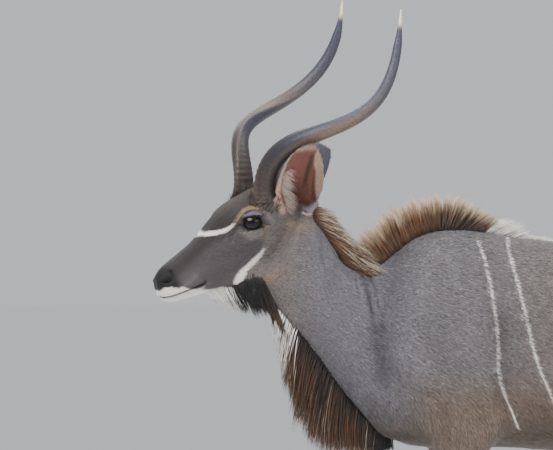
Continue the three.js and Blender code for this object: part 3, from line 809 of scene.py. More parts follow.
def other_cheek(path):
    """The same line on the head's other side."""
    line = []
    for forward, up, _ in zip(*head_measures(path)):
        hit = met(on_head(forward, up, -200), along_head(0, 0, 1))
        if hit is not None:
            line.append(hit)
    return np.array(line)


def on_flank(path, side):
    """A line on one side of the body, from distances back and up."""
    line = []
    for back, up in spaced(path, 12):
        hit = met(place(side * 600, back, up), (-side, 0, 0))
        if hit is not None:
            line.append(hit)
    return np.array(line)


def other_flank(path):
    """The same line on the other side of the body."""
    _, y, z = body_measures(path)
    return on_flank(list(zip(y + 6, z)), -1)


# Lines of the face where the view shows them, in pixels
FACE_PATHS = {
    "chevron": [(190, 240), (195, 237), (200, 235), (208, 234), (217, 233), (224, 231),
                (229, 228), (233, 225)],
    "brow": [(234, 223), (238, 217), (243, 211), (248, 208), (255, 208), (260, 210)],
    "cheek": [(263, 249), (260, 254), (256, 258), (252, 262), (248, 266), (243, 271),
              (240, 277), (236, 282)],
    "corner": [(190, 288), (197, 287), (203, 284), (205, 282)],
    "behind_eye": [(265, 216), (266, 228), (262, 238)],
    "rust": [(246, 283), (256, 281), (266, 279), (276, 276), (288, 273)],
    "under_ear": [(288, 224), (298, 228), (310, 225)],
    "under_eye": [(240, 230), (250, 235), (259, 233)],
    "lid": [(240, 220), (244, 216), (251, 213), (258, 213), (263, 216)],
    "brow_fold": [(239, 219), (244, 214), (250, 211), (257, 211), (263, 214)],
    "duct": [(243, 223), (240, 225), (237, 226), (234, 226)],
}
FACE_LINES = {}
for name, path in FACE_PATHS.items():
    near_line = from_view(path)
    FACE_LINES[name] = (near_line, other_cheek(near_line))
CUP = from_view([(303, 208), (308, 210), (313, 208), (317, 203), (319, 197)])
CUP_EDGE = from_view([(301, 212), (307, 215), (313, 214), (318, 209), (321, 202)])
SHOULDER_STRIPES = [
    from_view([(477, 241), (484, 262), (490, 290), (495, 320), (497, 345), (497, 370),
               (500, 385), (506, 400), (513, 415), (517, 428)]),
    from_view([(505, 232), (507, 250), (515, 278), (522, 305), (530, 340), (534, 355),
               (541, 375), (550, 395), (557, 412)]),
]
FLANK_STRIPES = [
    [(top + lean * s + 7 * math.sin(3.1 * s + n), 1276 - (1276 - foot) * s)
     for s in (0, 0.2, 0.4, 0.6, 0.8, 1)]
    for n, (top, lean, foot) in enumerate(
        ((266, 92, 860), (376, 74, 900), (486, 60, 880), (594, 44, 930), (700, 30, 960),
         (806, 14, 940), (896, 0, 980))
    )
]
STRIPES = (
    SHOULDER_STRIPES
    + [other_flank(path) for path in SHOULDER_STRIPES]
    + [on_flank(path, side) for path in FLANK_STRIPES for side in (1, -1)]
)


def near_stripes(points):
    """The places under the white stripes."""
    found = np.zeros(len(points), bool)
    for line in STRIPES:
        found |= from_path(points, line, 14 * MM)[0] < 11 * MM
    return found


finer(skin_mesh, near_stripes, 2)

BLUE_GREY = linear(101, 98, 103)
SHOULDER_GREY = linear(98, 94, 97)
WARM_GREY = linear(108, 98, 89)
LOW_BROWN = linear(104, 88, 75)
# Painted shade for the underside, a darker brown
UNDERSIDE_SHADE = linear(76, 67, 60)
SLATE = linear(74, 70, 71)
FOREHEAD = linear(40, 36, 36)
CROWN_BROWN = linear(64, 54, 49)
MUZZLE = linear(16, 15, 17)
WHITE_HAIR = linear(226, 221, 214)
CREAM = linear(196, 182, 162)
TAN = linear(150, 124, 98)
RUST = linear(132, 104, 80)
TAWNY = linear(138, 110, 82)
BLACK_HAIR = linear(22, 20, 20)
DARK_BROWN = linear(62, 48, 38)
EAR_BACK = linear(104, 97, 93)
EAR_SLATE = linear(54, 54, 66)
EAR_INSIDE = linear(114, 70, 59)
EAR_CUP_GREY = linear(134, 130, 140)
# Painted shade for the hollow of the ear cup
EAR_CUP_SHADE = linear(58, 34, 28)


def blend(colour, weight, other):
    """A colour drawn towards another by a weight for each place."""
    weight = np.asarray(weight)[:, None]
    return colour * (1 - weight) + other * weight


def banded(points, lines, half, soft, weave=0.0):
    """1 on a band either side of the lines, with soft edges; half widths run along it."""
    weight = np.zeros(len(points))
    widths = np.atleast_1d(np.asarray(half, float))
    for line in lines:
        if len(line) < 2:
            continue
        distance, share = from_path(points, line, (widths.max() + soft + 4) * MM)
        wide = np.interp(share, np.linspace(0, 1, len(widths)), widths)
        away = distance / MM + weave
        weight = np.maximum(weight, 1 - eased(away, wide - soft, wide + soft))
    return weight


def body_colour(points, normals, ragged):
    """The coat of the body, neck, legs and tail, with painted shade underneath, in the hollows and
    in the neck folds.
    """
    x, y, z = body_measures(points)
    colour = np.tile(BLUE_GREY, (len(points), 1))
    colour = blend(colour, 0.55 * eased(-y, 340, 460), WARM_GREY)
    colour = blend(colour, eased(y, -260, -60), SHOULDER_GREY)
    colour = blend(colour, eased(y, -40, 420), WARM_GREY)
    colour = blend(colour, 0.8 * eased(-z, -1000, -850) * eased(y, -200, -60), LOW_BROWN)
    colour = blend(colour, 0.35 * eased(z, 1190, 1290) * eased(y, -100, 60), SHOULDER_GREY)
    # Painted shade: the coat is darkened where the skin faces down under the body.
    under = eased(-normals[:, 2], 0.25, 0.8) * eased(z, 650, 740) * (y > -240)
    colour = blend(colour, 0.85 * under, UNDERSIDE_SHADE)
    chest = hill(x, 42) * eased(-y, 120, 190) * (1 - eased(z, 930, 1040)) * eased(z, 700, 760)
    colour = blend(colour, 0.8 * chest, BLACK_HAIR)
    leg = eased(-z, -640, -470)
    colour = blend(colour, leg, TAWNY)
    hock = hill(flat_path(y, z, [(1060, 560), (1040, 430)]), 34) + hill(
        flat_path(y, z, [(-30, 430), (-30, 380)]), 28)
    colour = blend(colour, 0.35 * np.clip(hock, 0, 1), LOW_BROWN)
    inner = eased(-normals[:, 0] * np.sign(x), 0.1, 0.7) * eased(-z, -700, -560)
    colour = blend(colour, 0.5 * inner * eased(z, 250, 480), CREAM)
    colour = blend(colour, 0.8 * eased(-z, -104, -82), DARK_BROWN)
    pastern = hill(z - 124, 13)
    colour = blend(colour, 0.6 * pastern, CREAM)
    tail = eased(y, 1128, 1146) * (z > 780)
    below = np.maximum(eased(-normals[:, 1], 0.2, 0.6), eased(np.abs(x), 11, 17)) * tail
    colour = blend(colour, 0.9 * below, WHITE_HAIR)
    colour = blend(colour, tail * eased(-z, -1010, -940), BLACK_HAIR)
    stripe = banded(points, STRIPES, (1.7, 2.6, 2.5, 2.2, 1.6), 1.0, 0.5 * ragged)
    colour = blend(colour, 0.88 * stripe, WHITE_HAIR)

    spine = hill(x, 9) * eased(normals[:, 2], 0.3, 0.7) * eased(y, 60, 120)
    spine = spine * (1 - eased(y, 1060, 1120))
    colour = blend(colour, 0.8 * spine, WHITE_HAIR)
    # Painted shade and light: the coat is darkened in the hollows and lightened on the ridges of
    # the body's forms.
    relief = body_forms(points, normals)
    colour = colour * np.clip(1 + 0.022 * relief, 0.7, 1.16)[:, None]
    # Painted shade in the two main neck folds: the coat is darkened along their middle lines.
    painted_crease_shade = np.zeros(len(points))
    for deep, _, line in NECK_FOLDS[:2]:
        middle = [(py + 1.5, pz) for py, pz in line]
        painted_fold_shade = hill(flat_path(y, z, middle), 4.5) * eased(z, line[-1][1] - 20, line[-1][1] + 50)
        painted_crease_shade = np.maximum(painted_crease_shade, painted_fold_shade * deep / 12)
    colour = colour * (1 - 0.42 * painted_crease_shade * eased(np.abs(normals[:, 0]), 0.1, 0.5))[:, None]
    return colour


def face_colour(points, normals, ragged, cloud):
    """The coat of the head without the ears."""
    forward, up, out = head_measures(points)
    face = np.tile(SLATE, (len(points), 1))
    grey = BLUE_GREY * 0.4 + WARM_GREY * 0.6
    edge = np.interp(
        forward, [-80, 18, 53, 78, 127, 163, 200], [-10, -46, -98, -120, -140, -166, -190])
    face = blend(face, 1 - eased((up - edge) * 0.78 + 2 * cloud, -10, 8), grey)
    roof = eased(up + 0.10 * np.abs(forward - 100) * 0.2, -42, -12) * eased(forward, -80, -20)
    face = blend(face, 0.9 * roof, FOREHEAD)
    brow = head_measures(FACE_LINES["chevron"][0])
    order = np.argsort(brow[0])
    under_brow = np.interp(forward, brow[0][order], brow[1][order])
    reach = eased(forward, 84, 100) * (1 - eased(forward, brow[0].max() - 30, brow[0].max()))
    face = blend(face, 0.85 * reach * eased(up - under_brow, 0, 10), FOREHEAD)
    crown = hill(flat_path(forward, np.abs(out), [(-40, 0), (40, 0)]), 46) * eased(up, -60, -20)
    face = blend(face, 0.8 * crown, CROWN_BROWN)

    def line(name, half, soft, tone, strength):
        nonlocal face
        weight = banded(points, FACE_LINES[name], half, soft, ragged)
        face = blend(face, strength * weight, tone)

    line("under_eye", (9, 13, 9), 9, linear(126, 117, 110), 0.62)
    line("behind_eye", 6, 12, TAN, 0.35)
    line("rust", 9, 12, RUST, 0.55)
    line("under_ear", 9, 12, TAN, 0.6)
    line("brow", (2.0, 4.0, 5.0, 5.0, 3.0), 4, TAN, 0.75)
    line("lid", (1.0, 3.5, 5.0, 5.0, 2.0), 2, linear(118, 114, 122), 0.75)
    line("brow_fold", (1.0, 2.0, 2.2, 2.2, 1.0), 1.5, FOREHEAD * 0.7, 0.7)
    line("chevron", (2.5, 5.4, 6.4, 6.0, 5.4, 5.0, 4.0, 2.5), 1.4, WHITE_HAIR, 0.97)
    line("cheek", (2.5, 6.0, 7.5, 6.4, 6.4, 9.5, 11.0, 8.0), 1.6, WHITE_HAIR, 0.97)
    whiskers = hill(flat_path(forward, up, [(288, -60), (254, -62)]), 9)
    whiskers = whiskers * (0.7 + 0.3 * np.sin(ragged * 9))
    face = blend(face, 0.3 * whiskers, linear(136, 130, 128))
    nose = eased(forward, 284, 312) * eased(up, -60, -44)
    face = blend(face, 0.95 * nose, MUZZLE)
    mouth = flat_path(forward, up, MOUTH)
    above = up - np.interp(forward, [248, 268, 297, 323, 343, 354], [-92, -86, -75, -65, -56, -50])
    jaw = eased(-above, 0, 3) * eased(forward, 240, 264)
    face = blend(face, 0.94 * jaw, WHITE_HAIR * 0.86)
    low_edge = np.interp(
        forward, [100, 150, 190, 230, 253, 304], [-216, -192, -166, -138, -121, -102])
    throat = eased(low_edge + 13 - up, -3, 5) * eased(forward, 120, 190)
    face = blend(face, 0.94 * throat, WHITE_HAIR * 0.86)
    facing_down = eased(-(normals @ along_head(0, 1, 0)), 0.35, 0.8)
    under_jaw = facing_down * eased(-forward, -165, -130) * eased(-up, 165, 185)
    face = blend(face, 0.85 * under_jaw, BLACK_HAIR)
    high = np.interp(
        forward, [274, 284, 292, 303, 317, 324, 332, 350], [0, 4, 12, 18, 21, 29, 29, 21])
    high = high + 1.6 * np.sin(forward / 3.1)
    lip = eased(above + ragged, -0.5, 1) * (1 - eased(above + ragged, high - 2, high + 2))
    face = blend(face, 0.95 * lip * (forward > 274), WHITE_HAIR)
    line("corner", (2.5, 5.0, 7.0, 5.0), 2, MUZZLE, 0.92)
    lips = hill(mouth, 2.0) * (forward > 240)
    face = blend(face, 0.9 * lips, MUZZLE)
    for side in (1, -1):
        turn, lift, distance = eye_measures(points, side)
        edge = lid_edge(turn, lift)
        near = (distance < 44) & (np.abs(turn) < 130)
        corner = eased(np.abs(turn), 50, 80)
        dark = near * (1 - eased(edge, 5 + 9 * corner, 9 + 12 * corner))
        dark = dark * (1 - eased(distance, 26, 31))
        face = blend(face, 0.97 * dark, BLACK_HAIR * 0.6)
    line("duct", (4.5, 4.0, 3.0, 1.5), 2, BLACK_HAIR * 0.7, 0.92)
    return face


def ear_colour(points, normals, which):
    """The coat of the ears, inside and out, with painted shade in the cups."""
    back = np.where(which[:, None] > 0, EAR_BACK, EAR_SLATE)
    for side in (1, -1):
        share, across, toward = ear_measures(points, side)
        opening = ear_axes(side)[3]
        inside = eased(normals @ opening, -0.15, 0.35) * (which == side)
        shift, half, deep = ear_row(share)
        beside = across - shift
        lining = np.tile(EAR_INSIDE, (len(points), 1))
        # Painted shade deep in the cup near the ear's foot, and along two lines on its inside.
        lining = blend(lining, 0.8 * hill(beside, 30) * (1 - eased(share, 0.15, 0.5)), EAR_CUP_SHADE)
        middle = eased(share, 0.16, 0.34) * (1 - eased(share, 0.74, 0.84))
        lining = blend(lining, 0.9 * middle * hill(beside - 24, 6), EAR_CUP_SHADE)
        high = eased(share, 0.5, 0.6)
        bound = np.interp(share, [0.35, 0.5, 0.62, 0.8], [44, 40, 31, 26])
        strip = eased(beside, bound, bound + 6)
        lining = blend(lining, 0.5 * hill(beside - 42, 3) * (1 - high), EAR_CUP_SHADE)
        rim = np.maximum(eased(-beside / half, 0.74, 0.88), eased(share, 0.83, 0.95))
        lining = blend(lining, 0.85 * np.maximum(rim, strip), linear(176, 152, 134))
        back = np.where((which == side)[:, None], blend(back, inside, lining), back)
        tip = eased(share, 0.9, 1.0) * (which == side)
        back = blend(back, 0.6 * tip, DARK_BROWN)
    return back


def coat_colour(points, normals, ragged=None):
    """The colour of the coat at each place, markings, painted shade and all."""
    x, y, z = body_measures(points)
    if ragged is None:
        ragged = np.zeros(len(points))
    cloud = (
        np.sin(y / 61 + 1.3) * np.sin(z / 47 + x / 53)
        + 0.6 * np.sin(y / 23 + z / 31)
        + 0.4 * np.sin(z / 17 - y / 29 + x / 19)
    )
    colour = body_colour(points, normals, ragged)
    colour = blend(colour, on_front(points), face_colour(points, normals, ragged, cloud))
    ear, which = on_ear(points)
    colour = blend(colour, ear, ear_colour(points, normals, which))
    cup = banded(points, [CUP], (3, 8, 10, 8, 3), 3, ragged)
    colour = blend(colour, 0.85 * cup, EAR_CUP_GREY)
    edge = banded(points, [CUP_EDGE], (1.5, 2.6, 2.6, 2.4, 1.5), 1.2, ragged)
    colour = blend(colour, 0.85 * edge, CREAM)
    return np.clip(colour * (1 + 0.035 * cloud[:, None]), 0, 1)


# Finishes


def made_material(name, roughness, sheen=0.0):
    """A new finish, and what is needed to build on it."""
    made = bpy.data.materials.new(name)
    made.use_nodes = True
    shader = made.node_tree.nodes["Principled BSDF"]
    shader.inputs["Roughness"].default_value = roughness
    if sheen:
        shader.inputs["Specular IOR Level"].default_value = 0.22
        shader.inputs["Sheen Weight"].default_value = sheen
        shader.inputs["Sheen Roughness"].default_value = 0.5
    return made, made.node_tree.nodes, made.node_tree.links, shader


def grained(nodes, links, shader, grain, detail, fine, tones, stretch=(1, 1, 1)):
    """Gives a finish the colour painted on its mesh, with a grain that lightens and darkens it."""
    paint = nodes.new("ShaderNodeAttribute")
    paint.attribute_name = "paint"
    where = nodes.new("ShaderNodeTexCoord")
    mapping = nodes.new("ShaderNodeMapping")
    mapping.inputs["Scale"].default_value = stretch
    noise = nodes.new("ShaderNodeTexNoise")
    noise.inputs["Scale"].default_value = grain
    noise.inputs["Detail"].default_value = detail
    ramp = nodes.new("ShaderNodeMapRange")
    for word, (low, high) in (("From", fine), ("To", tones)):
        ramp.inputs[word + " Min"].default_value = low
        ramp.inputs[word + " Max"].default_value = high
    mix = nodes.new("ShaderNodeVectorMath")
    mix.operation = "MULTIPLY"
    links.new(where.outputs["Object"], mapping.inputs["Vector"])
    links.new(mapping.outputs["Vector"], noise.inputs["Vector"])
    links.new(noise.outputs["Fac"], ramp.inputs["Value"])
    links.new(paint.outputs["Color"], mix.inputs[0])
    links.new(ramp.outputs["Result"], mix.inputs[1])
    links.new(mix.outputs["Vector"], shader.inputs["Base Color"])
    return noise


def painted(name, roughness, sheen, grain, strength, bump, stretch=(1, 1, 1)):
    """A finish that takes its colour from the mesh, with grain and fine relief over it."""
    made, nodes, links, shader = made_material(name, roughness, sheen)
    tones = (1 - strength, 1 + strength)
    noise = grained(nodes, links, shader, grain, 6, (0.3, 0.7), tones, stretch)
    relief = nodes.new("ShaderNodeBump")
    relief.inputs["Strength"].default_value = bump
    relief.inputs["Distance"].default_value = 0.0015
    links.new(noise.outputs["Fac"], relief.inputs["Height"])
    links.new(relief.outputs["Normal"], shader.inputs["Normal"])
    return made


COAT = painted("short_coat", 0.72, 0.12, 420, 0.28, 0.5)
SKIN = painted("hide", 0.7, 0.1, 520, 0.3, 0.7)
HAIR = painted("long_hair", 0.6, 0.06, 300, 0.2, 0.2)


def paint(mesh, colours):
    """Puts a colour on each point of a mesh."""
    layer = mesh.color_attributes.new("paint", "FLOAT_COLOR", "POINT")
    full = np.ones((len(colours), 4), np.float32)
    full[:, :3] = np.clip(colours, 0, 1)
    layer.data.foreach_set("color", full.ravel())


# The skin as a piece

skin_points = positions(skin_mesh)
skin_normals = vertex_normals(skin_mesh)
paint(skin_mesh, coat_colour(skin_points, skin_normals) * 0.8)
skin = new_piece("skin", skin_mesh, SKIN)
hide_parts(*FLESH)

# The coat

dice = np.random.default_rng(7)
skin_mesh.calc_loop_triangles()
skin_faces = np.zeros(len(skin_mesh.loop_triangles) * 3, np.int32)
skin_mesh.loop_triangles.foreach_get("vertices", skin_faces)
skin_faces = skin_faces.reshape(-1, 3)
corners = skin_points[skin_faces]
face_area = np.linalg.norm(
    np.cross(corners[:, 1] - corners[:, 0], corners[:, 2] - corners[:, 0]), axis=1) / 2 / MM**2
face_middle = corners.mean(1)


def sown(weight, count):
    """Roots spread over the skin in proportion to a weight for each face."""
    share = np.cumsum(face_area * weight)
    picks = (np.arange(count) + dice.random(count)) / count * share[-1]
    face = np.minimum(np.searchsorted(share, picks), len(share) - 1)
    a, b = np.sqrt(dice.random(count)), dice.random(count)
    mix = np.stack([1 - a, a * (1 - b), a * b], axis=1)[:, :, None]
    points = (skin_points[skin_faces[face]] * mix).sum(1)
    normals = unit((skin_normals[skin_faces[face]] * mix).sum(1))
    return points, normals


def lie_of_coat(points, normals):
    """The way the hair lies at each place."""
    _, y, z = body_measures(points)
    _, up, out = head_measures(points)
    way = np.tile([0.0, 0.88, -0.48], (len(points), 1))
    down = np.array([0.0, 0.22, -1.0])
    leg = eased(-z, -960, -760)[:, None]
    way = way * (1 - leg) + down * leg
    tail = (eased(y, 1120, 1150))[:, None]
    way = way * (1 - tail) + np.array([0, 0.1, -1.0]) * tail
    belly = (eased(-normals[:, 2], 0.5, 0.9) * (z > 700))[:, None]
    way = way * (1 - belly) + np.array([0.0, 1.0, 0.0]) * belly
    head = on_front(points)[:, None]
    back = -along_head(1, 0, 0) + 0.35 * along_head(0, -1, 0)
    cheek = eased(-up, 60, 150)[:, None]
    face = back + cheek * 0.35 * along_head(0, -1, 0)
    face = face + np.sign(out)[:, None] * 0.25 * along_head(0, 0, 1)
    way = way * (1 - head) + face * head
    ear, which = on_ear(points)
    for side in (1, -1):
        along = ear_axes(side)[1]
        mine = (ear * (which == side))[:, None]
        way = way * (1 - mine) + along * mine
    way = way - normals * (way * normals).sum(1)[:, None]
    return unit(way)


def turned_about(way, normals, angle):
    """Ways turned by an angle within the plane of the skin."""
    across = np.cross(normals, way)
    return way * np.cos(angle)[:, None] + across * np.sin(angle)[:, None]


def strands(name, roots, ways, normals, length, width, thick, steps, tone, bend, flat_uv,
            finish, shade=None):
    """Many small closed spikes joined in one mesh. Their tips curve by the bend."""
    count = len(roots)
    across = unit(np.cross(normals, ways))
    rings = []
    tones = []
    for n in range(steps + 1):
        s = n / steps
        centre = roots + ways * (length * s)[:, None] + bend * (length * s * s)[:, None]
        if n == steps:
            rings.append(centre[:, None])
            tones.append(tone(s)[:, None])
            continue
        slim = (1 - s) ** 0.7
        half = (width / 2 * slim)[:, None]
        high = (thick * slim)[:, None]
        rings.append(np.stack(
            [centre - across * half, centre + across * half, centre + normals * high], axis=1))
        tones.append(np.repeat(tone(s)[:, None], 3, axis=1))
    points = np.concatenate(rings, axis=1)
    colours = np.concatenate(tones, axis=1)
    per = points.shape[1]
    faces = [(0, 2, 1)]
    for n in range(steps - 1):
        a, b = 3 * n, 3 * n + 3
        for i, j in ((0, 1), (1, 2), (2, 0)):
            faces += [(a + i, a + j, b + j), (a + i, b + j, b + i)]
    last, tip = 3 * (steps - 1), per - 1
    faces += [(last, last + 1, tip), (last + 1, last + 2, tip), (last + 2, last, tip)]
    faces = np.array(faces)
    every = (faces[None] + (np.arange(count) * per)[:, None, None]).reshape(-1, 3)
    mesh = bpy.data.meshes.new(name)
    mesh.vertices.add(count * per)
    mesh.vertices.foreach_set("co", points.astype(np.float32).ravel())
    mesh.loops.add(every.size)
    mesh.loops.foreach_set("vertex_index", every.astype(np.int32).ravel())
    mesh.polygons.add(len(every))
    mesh.polygons.foreach_set("loop_start", np.arange(0, every.size, 3, dtype=np.int32))
    mesh.polygons.foreach_set("use_smooth", np.ones(len(every), bool))
    mesh.update(calc_edges=True)
    paint(mesh, colours.reshape(-1, 3))
    patch = np.array([[-1, -1], [1, -1], [0, -0.4]] * steps + [[0, 1]], float)
    patch[:, 1] = np.concatenate([np.repeat(np.linspace(-1, 0.6, steps), 3), [1]])
    spots = flat_uv[:, None, :] + patch[None] * 0.0015
    layer = mesh.uv_layers.new(name="OFBake")
    spots = spots.reshape(-1, 2)[every.ravel()]
    layer.data.foreach_set("uv", spots.astype(np.float32).ravel())
    if shade is not None:
        mesh.normals_split_custom_set_from_vertices(np.repeat(shade, per, axis=0))
    return new_piece(name, mesh, finish)


def spread(values):
    """Values brought into the unwrap's room, just inside 0 to 1."""
    low, high = values.min(), values.max()
    return 0.01 + 0.98 * (values - low) / max(high - low, 1e-9)


def round_unwrap(points, normals):
    """Along and round the body, for the coat of the trunk, neck or head."""
    x, y, z = body_measures(points)
    middle_z = np.interp(y, [-500, -300, -100, 200, 1100], [1260, 1130, 1060, 1020, 1100])
    middle_x = np.interp(y, [-500, -150], [70, 0])
    angle = np.arctan2(x - middle_x, z - middle_z)
    return np.stack([spread(y - 0.3 * z * (y < -100)), spread(angle)], axis=1)


def head_unwrap(points, normals):
    """Along and round the head."""
    forward, up, out = head_measures(points)
    return np.stack([spread(forward), spread(np.arctan2(out, up + 90))], axis=1)


def leg_unwrap(points, normals):
    """Four columns side by side, one for each leg."""
    x, y, z = body_measures(points)
    column = (x > 0) * 1.0 + (y > 500) * 2.0
    middle = np.where(y > 500, 1030, 0)
    angle = np.arctan2(y - middle, np.abs(x) - 90) / (2 * np.pi) + 0.5
    return np.stack([(column + 0.04 + 0.92 * angle) / 4, spread(z)], axis=1)


def ear_unwrap(points, normals):
    """Four columns, for the inside and the outside of each ear."""
    _, which = on_ear(points)
    u, v = np.zeros(len(points)), np.zeros(len(points))
    for side in (1, -1):
        share, across, _ = ear_measures(points, side)
        inside = (normals @ ear_axes(side)[3]) > 0
        column = (1 - side) + inside
        mine = which == side
        u = np.where(mine, (column + 0.5 + across / 160) / 4, u)
        v = np.where(mine, share, v)
    return np.stack([np.clip(u, 0.01, 0.99), np.clip(0.02 + 0.9 * v, 0.01, 0.99)], axis=1)


def short_coat(name, weight, count, size, unwrap, tidy):
    """Short tufts that lie along the skin. Size gives length, width and lift at each root."""
    points, normals = sown(weight(face_middle), count)
    length, width, lift = size(points, normals)
    length = length * (0.75 + 0.5 * dice.random(count))
    ragged = dice.normal(0, 0.9, count)
    colour = coat_colour(points, normals, ragged)
    speck = dice.random(count)
    tone = 1 + 0.3 * (dice.random(count) - 0.5) + 0.6 * (speck > 0.86) - 0.5 * (speck < 0.2)
    bare = 1 - 0.5 * (colour.mean(1) > 0.4)
    tone = 1 + (tone - 1) * bare
    colour = colour * tone[:, None]
    way = turned_about(lie_of_coat(points, normals), normals, dice.normal(0, tidy, count))
    lift = np.radians(lift * (0.7 + 0.6 * dice.random(count)))
    ways = way * np.cos(lift)[:, None] + normals * np.sin(lift)[:, None]
    roots = points - normals * 0.5 * MM
    return strands(
        name, roots, ways, normals, length * MM, width * MM, width * 0.35 * MM, 1,
        lambda s: colour * (0.82 + 0.34 * s), normals * 0, unwrap(points, normals), COAT,
        unit(normals + 0.25 * way),
    )


THIN = 1.0


def amount_of(count):
    """A count of hairs, scaled by THIN."""
    return int(count * THIN)


def body_size(points, normals):
    """Length, width and lift of the tufts of the body and legs."""
    _, y, z = body_measures(points)
    leg = eased(-z, -820, -560)
    neck = eased(-y, 180, 330)
    length = 11 - 3.0 * leg - 3.5 * neck + 4 * eased(-normals[:, 2], 0.4, 0.8) * (z > 700)
    return length, 2.3 - 0.7 * leg - 0.3 * neck, 14 - 2 * leg


def face_size(points, normals):
    """Length, width and lift of the tufts of the face."""
    forward = head_measures(points)[0]
    muzzle = eased(forward, 60, 300)
    bare = 1 - 0.75 * near_eyes(points)
    return (9 - 5 * muzzle) * bare, 1.5 - 0.6 * muzzle, 12 - 4 * muzzle


def even_size(*size):
    """Length, width and lift that are the same at every root."""
    return lambda points, normals: [np.full(len(points), each) for each in size]


def region(name):
    """The share of the coat that one piece covers."""
    def weight(points):
        x, y, z = body_measures(points)
        head = on_front(points) > 0.5
        ear = on_ear(points)[0] > 0.5
        low = z < 640
        body = ~head & ~ear & ~low
        return 1.0 * {
            "neck": body & (y < -150),
            "shoulder_left": body & (y >= -150) & (y < 330) & (x >= 0),
            "shoulder_right": body & (y >= -150) & (y < 330) & (x < 0),
            "flank_left": body & (y >= 330) & (x >= 0),
            "flank_right": body & (y >= 330) & (x < 0),
            "legs": low,
            "ears": ear,
            "face": head & ~ear,
        }[name]
    return weight


def face_weight(points):
    """Denser towards the muzzle, and almost bare on the nose."""
    forward, up, _ = head_measures(points)
    nose = eased(forward, 300, 330) * eased(up, -50, -40)
    return region("face")(points) * (1 + 1.6 * eased(forward, 60, 240)) * (1 - 0.96 * nose)


def make_coat(pieces):
    """Makes the pieces of a table: name, weight, count, size, unwrap and how tidy they lie."""
    for name, weight, count, size, unwrap, tidy in pieces:
        piece = short_coat(name, weight, amount_of(count), size, unwrap, tidy)


make_coat(
    [("coat_" + name, region(name), count, body_size, round_unwrap, 0.16)
     for name, count in (("neck", 38000), ("shoulder_left", 42000), ("shoulder_right", 25000),
                         ("flank_left", 36000), ("flank_right", 30000))]
    + [("coat_legs", region("legs"), 30000, body_size, leg_unwrap, 0.16),
       ("coat_face", face_weight, 42000, face_size, head_unwrap, 0.1),
       ("coat_ears", region("ears"), 16000, even_size(8.0, 1.5, 9.0), ear_unwrap, 0.12)]
)

# Horns


def horn_rings(side):
    """The rings of one horn: places, share of the length and turn round the horn."""
    shares = np.linspace(0, 1, HORN_STEPS + 1)
    flip = np.array([side, 1, 1])
    line = np.array([horn_middle(t * (1 + HORN_SUNK) - HORN_SUNK) * flip for t in shares])
    passed = np.concatenate([[0], np.cumsum(np.linalg.norm(np.diff(line, axis=0), axis=1))])
    front = np.array([0, -0.8, 0.6])
    angles = np.arange(HORN_SIDES) / HORN_SIDES * 2 * np.pi
    rings = []
    for n, t in enumerate(shares):
        ahead = line[min(n + 1, HORN_STEPS)] - line[max(n - 1, 0)]
        along = unit(ahead)
        front = unit(front - along * (front @ along))
        across = np.cross(along, front)
        thin = 1 - t
        radius = HORN_RADIUS * (0.1 + 0.9 * thin**0.5) * min(1, 0.35 + 5 * thin)
        keel = HORN_KEEL * thin * np.exp(-((np.minimum(angles, 2 * np.pi - angles) / 0.36) ** 2))
        face = 0.5 + 0.5 * np.cos(angles - 0.5)
        ripple = np.sin(passed[n] / 8.2 * 2 * np.pi / 1.6 + 0.7 * np.sin(2 * angles))
        ripple = ripple * (0.5 + 0.5 * math.sin(passed[n] / 37))
        ridges = 1.1 * ripple * face * math.exp(-((t / 0.42) ** 2)) * min(1, 20 * t)
        grain = 0.28 * np.sin(9 * angles + 3 * t) * thin
        out = radius - 0.6 * thin + keel + ridges + grain
        ring = (
            line[n]
            + front * (out * np.cos(angles))[:, None]
            + across * (0.92 * out * np.sin(angles))[:, None]
        )
        rings.append(HEAD_AT + ring * MM @ HEAD_TURNED.T)
        step = math.radians(-HORN_ROLL / HORN_STEPS) * side
        front = np.array(Matrix.Rotation(step, 3, Vector(along)) @ Vector(front))
    return rings, shares, angles


def tube(shape, rings):
    """Draws a ring out along a row of rings, and closes both ends."""
    sides = len(rings[0])
    ring = bmesh.ops.create_circle(shape, cap_ends=False, segments=sides, radius=1)["verts"]
    for vert, at in zip(ring, rings[0]):
        vert.co = Vector(at)
    first = ring
    order = list(ring)
    for places in rings[1:]:
        edges = [shape.edges.get((ring[k], ring[(k + 1) % sides])) for k in range(sides)]
        made = bmesh.ops.extrude_edge_only(shape, edges=edges)["geom"]
        fresh = {v for v in made if isinstance(v, bmesh.types.BMVert)}
        after = []
        for vert, at in zip(ring, places):
            new = next(e.other_vert(vert) for e in vert.link_edges if e.other_vert(vert) in fresh)
            new.co = Vector(at)
            after.append(new)
        ring = after
        order += ring
    for end in (first, ring):
        bmesh.ops.contextual_create(shape, geom=end)
    bmesh.ops.recalc_face_normals(shape, faces=shape.faces)
    return order


def finished(shape, name):
    """A smooth mesh from a shape."""
    mesh = bpy.data.meshes.new(name)
    shape.to_mesh(mesh)
    shape.free()
    for face in mesh.polygons:
        face.use_smooth = True
    return mesh


HORN = painted("horn", 0.46, 0, 190, 0.22, 0.55)
HORN.node_tree.nodes["Principled BSDF"].inputs["Specular IOR Level"].default_value = 0.3


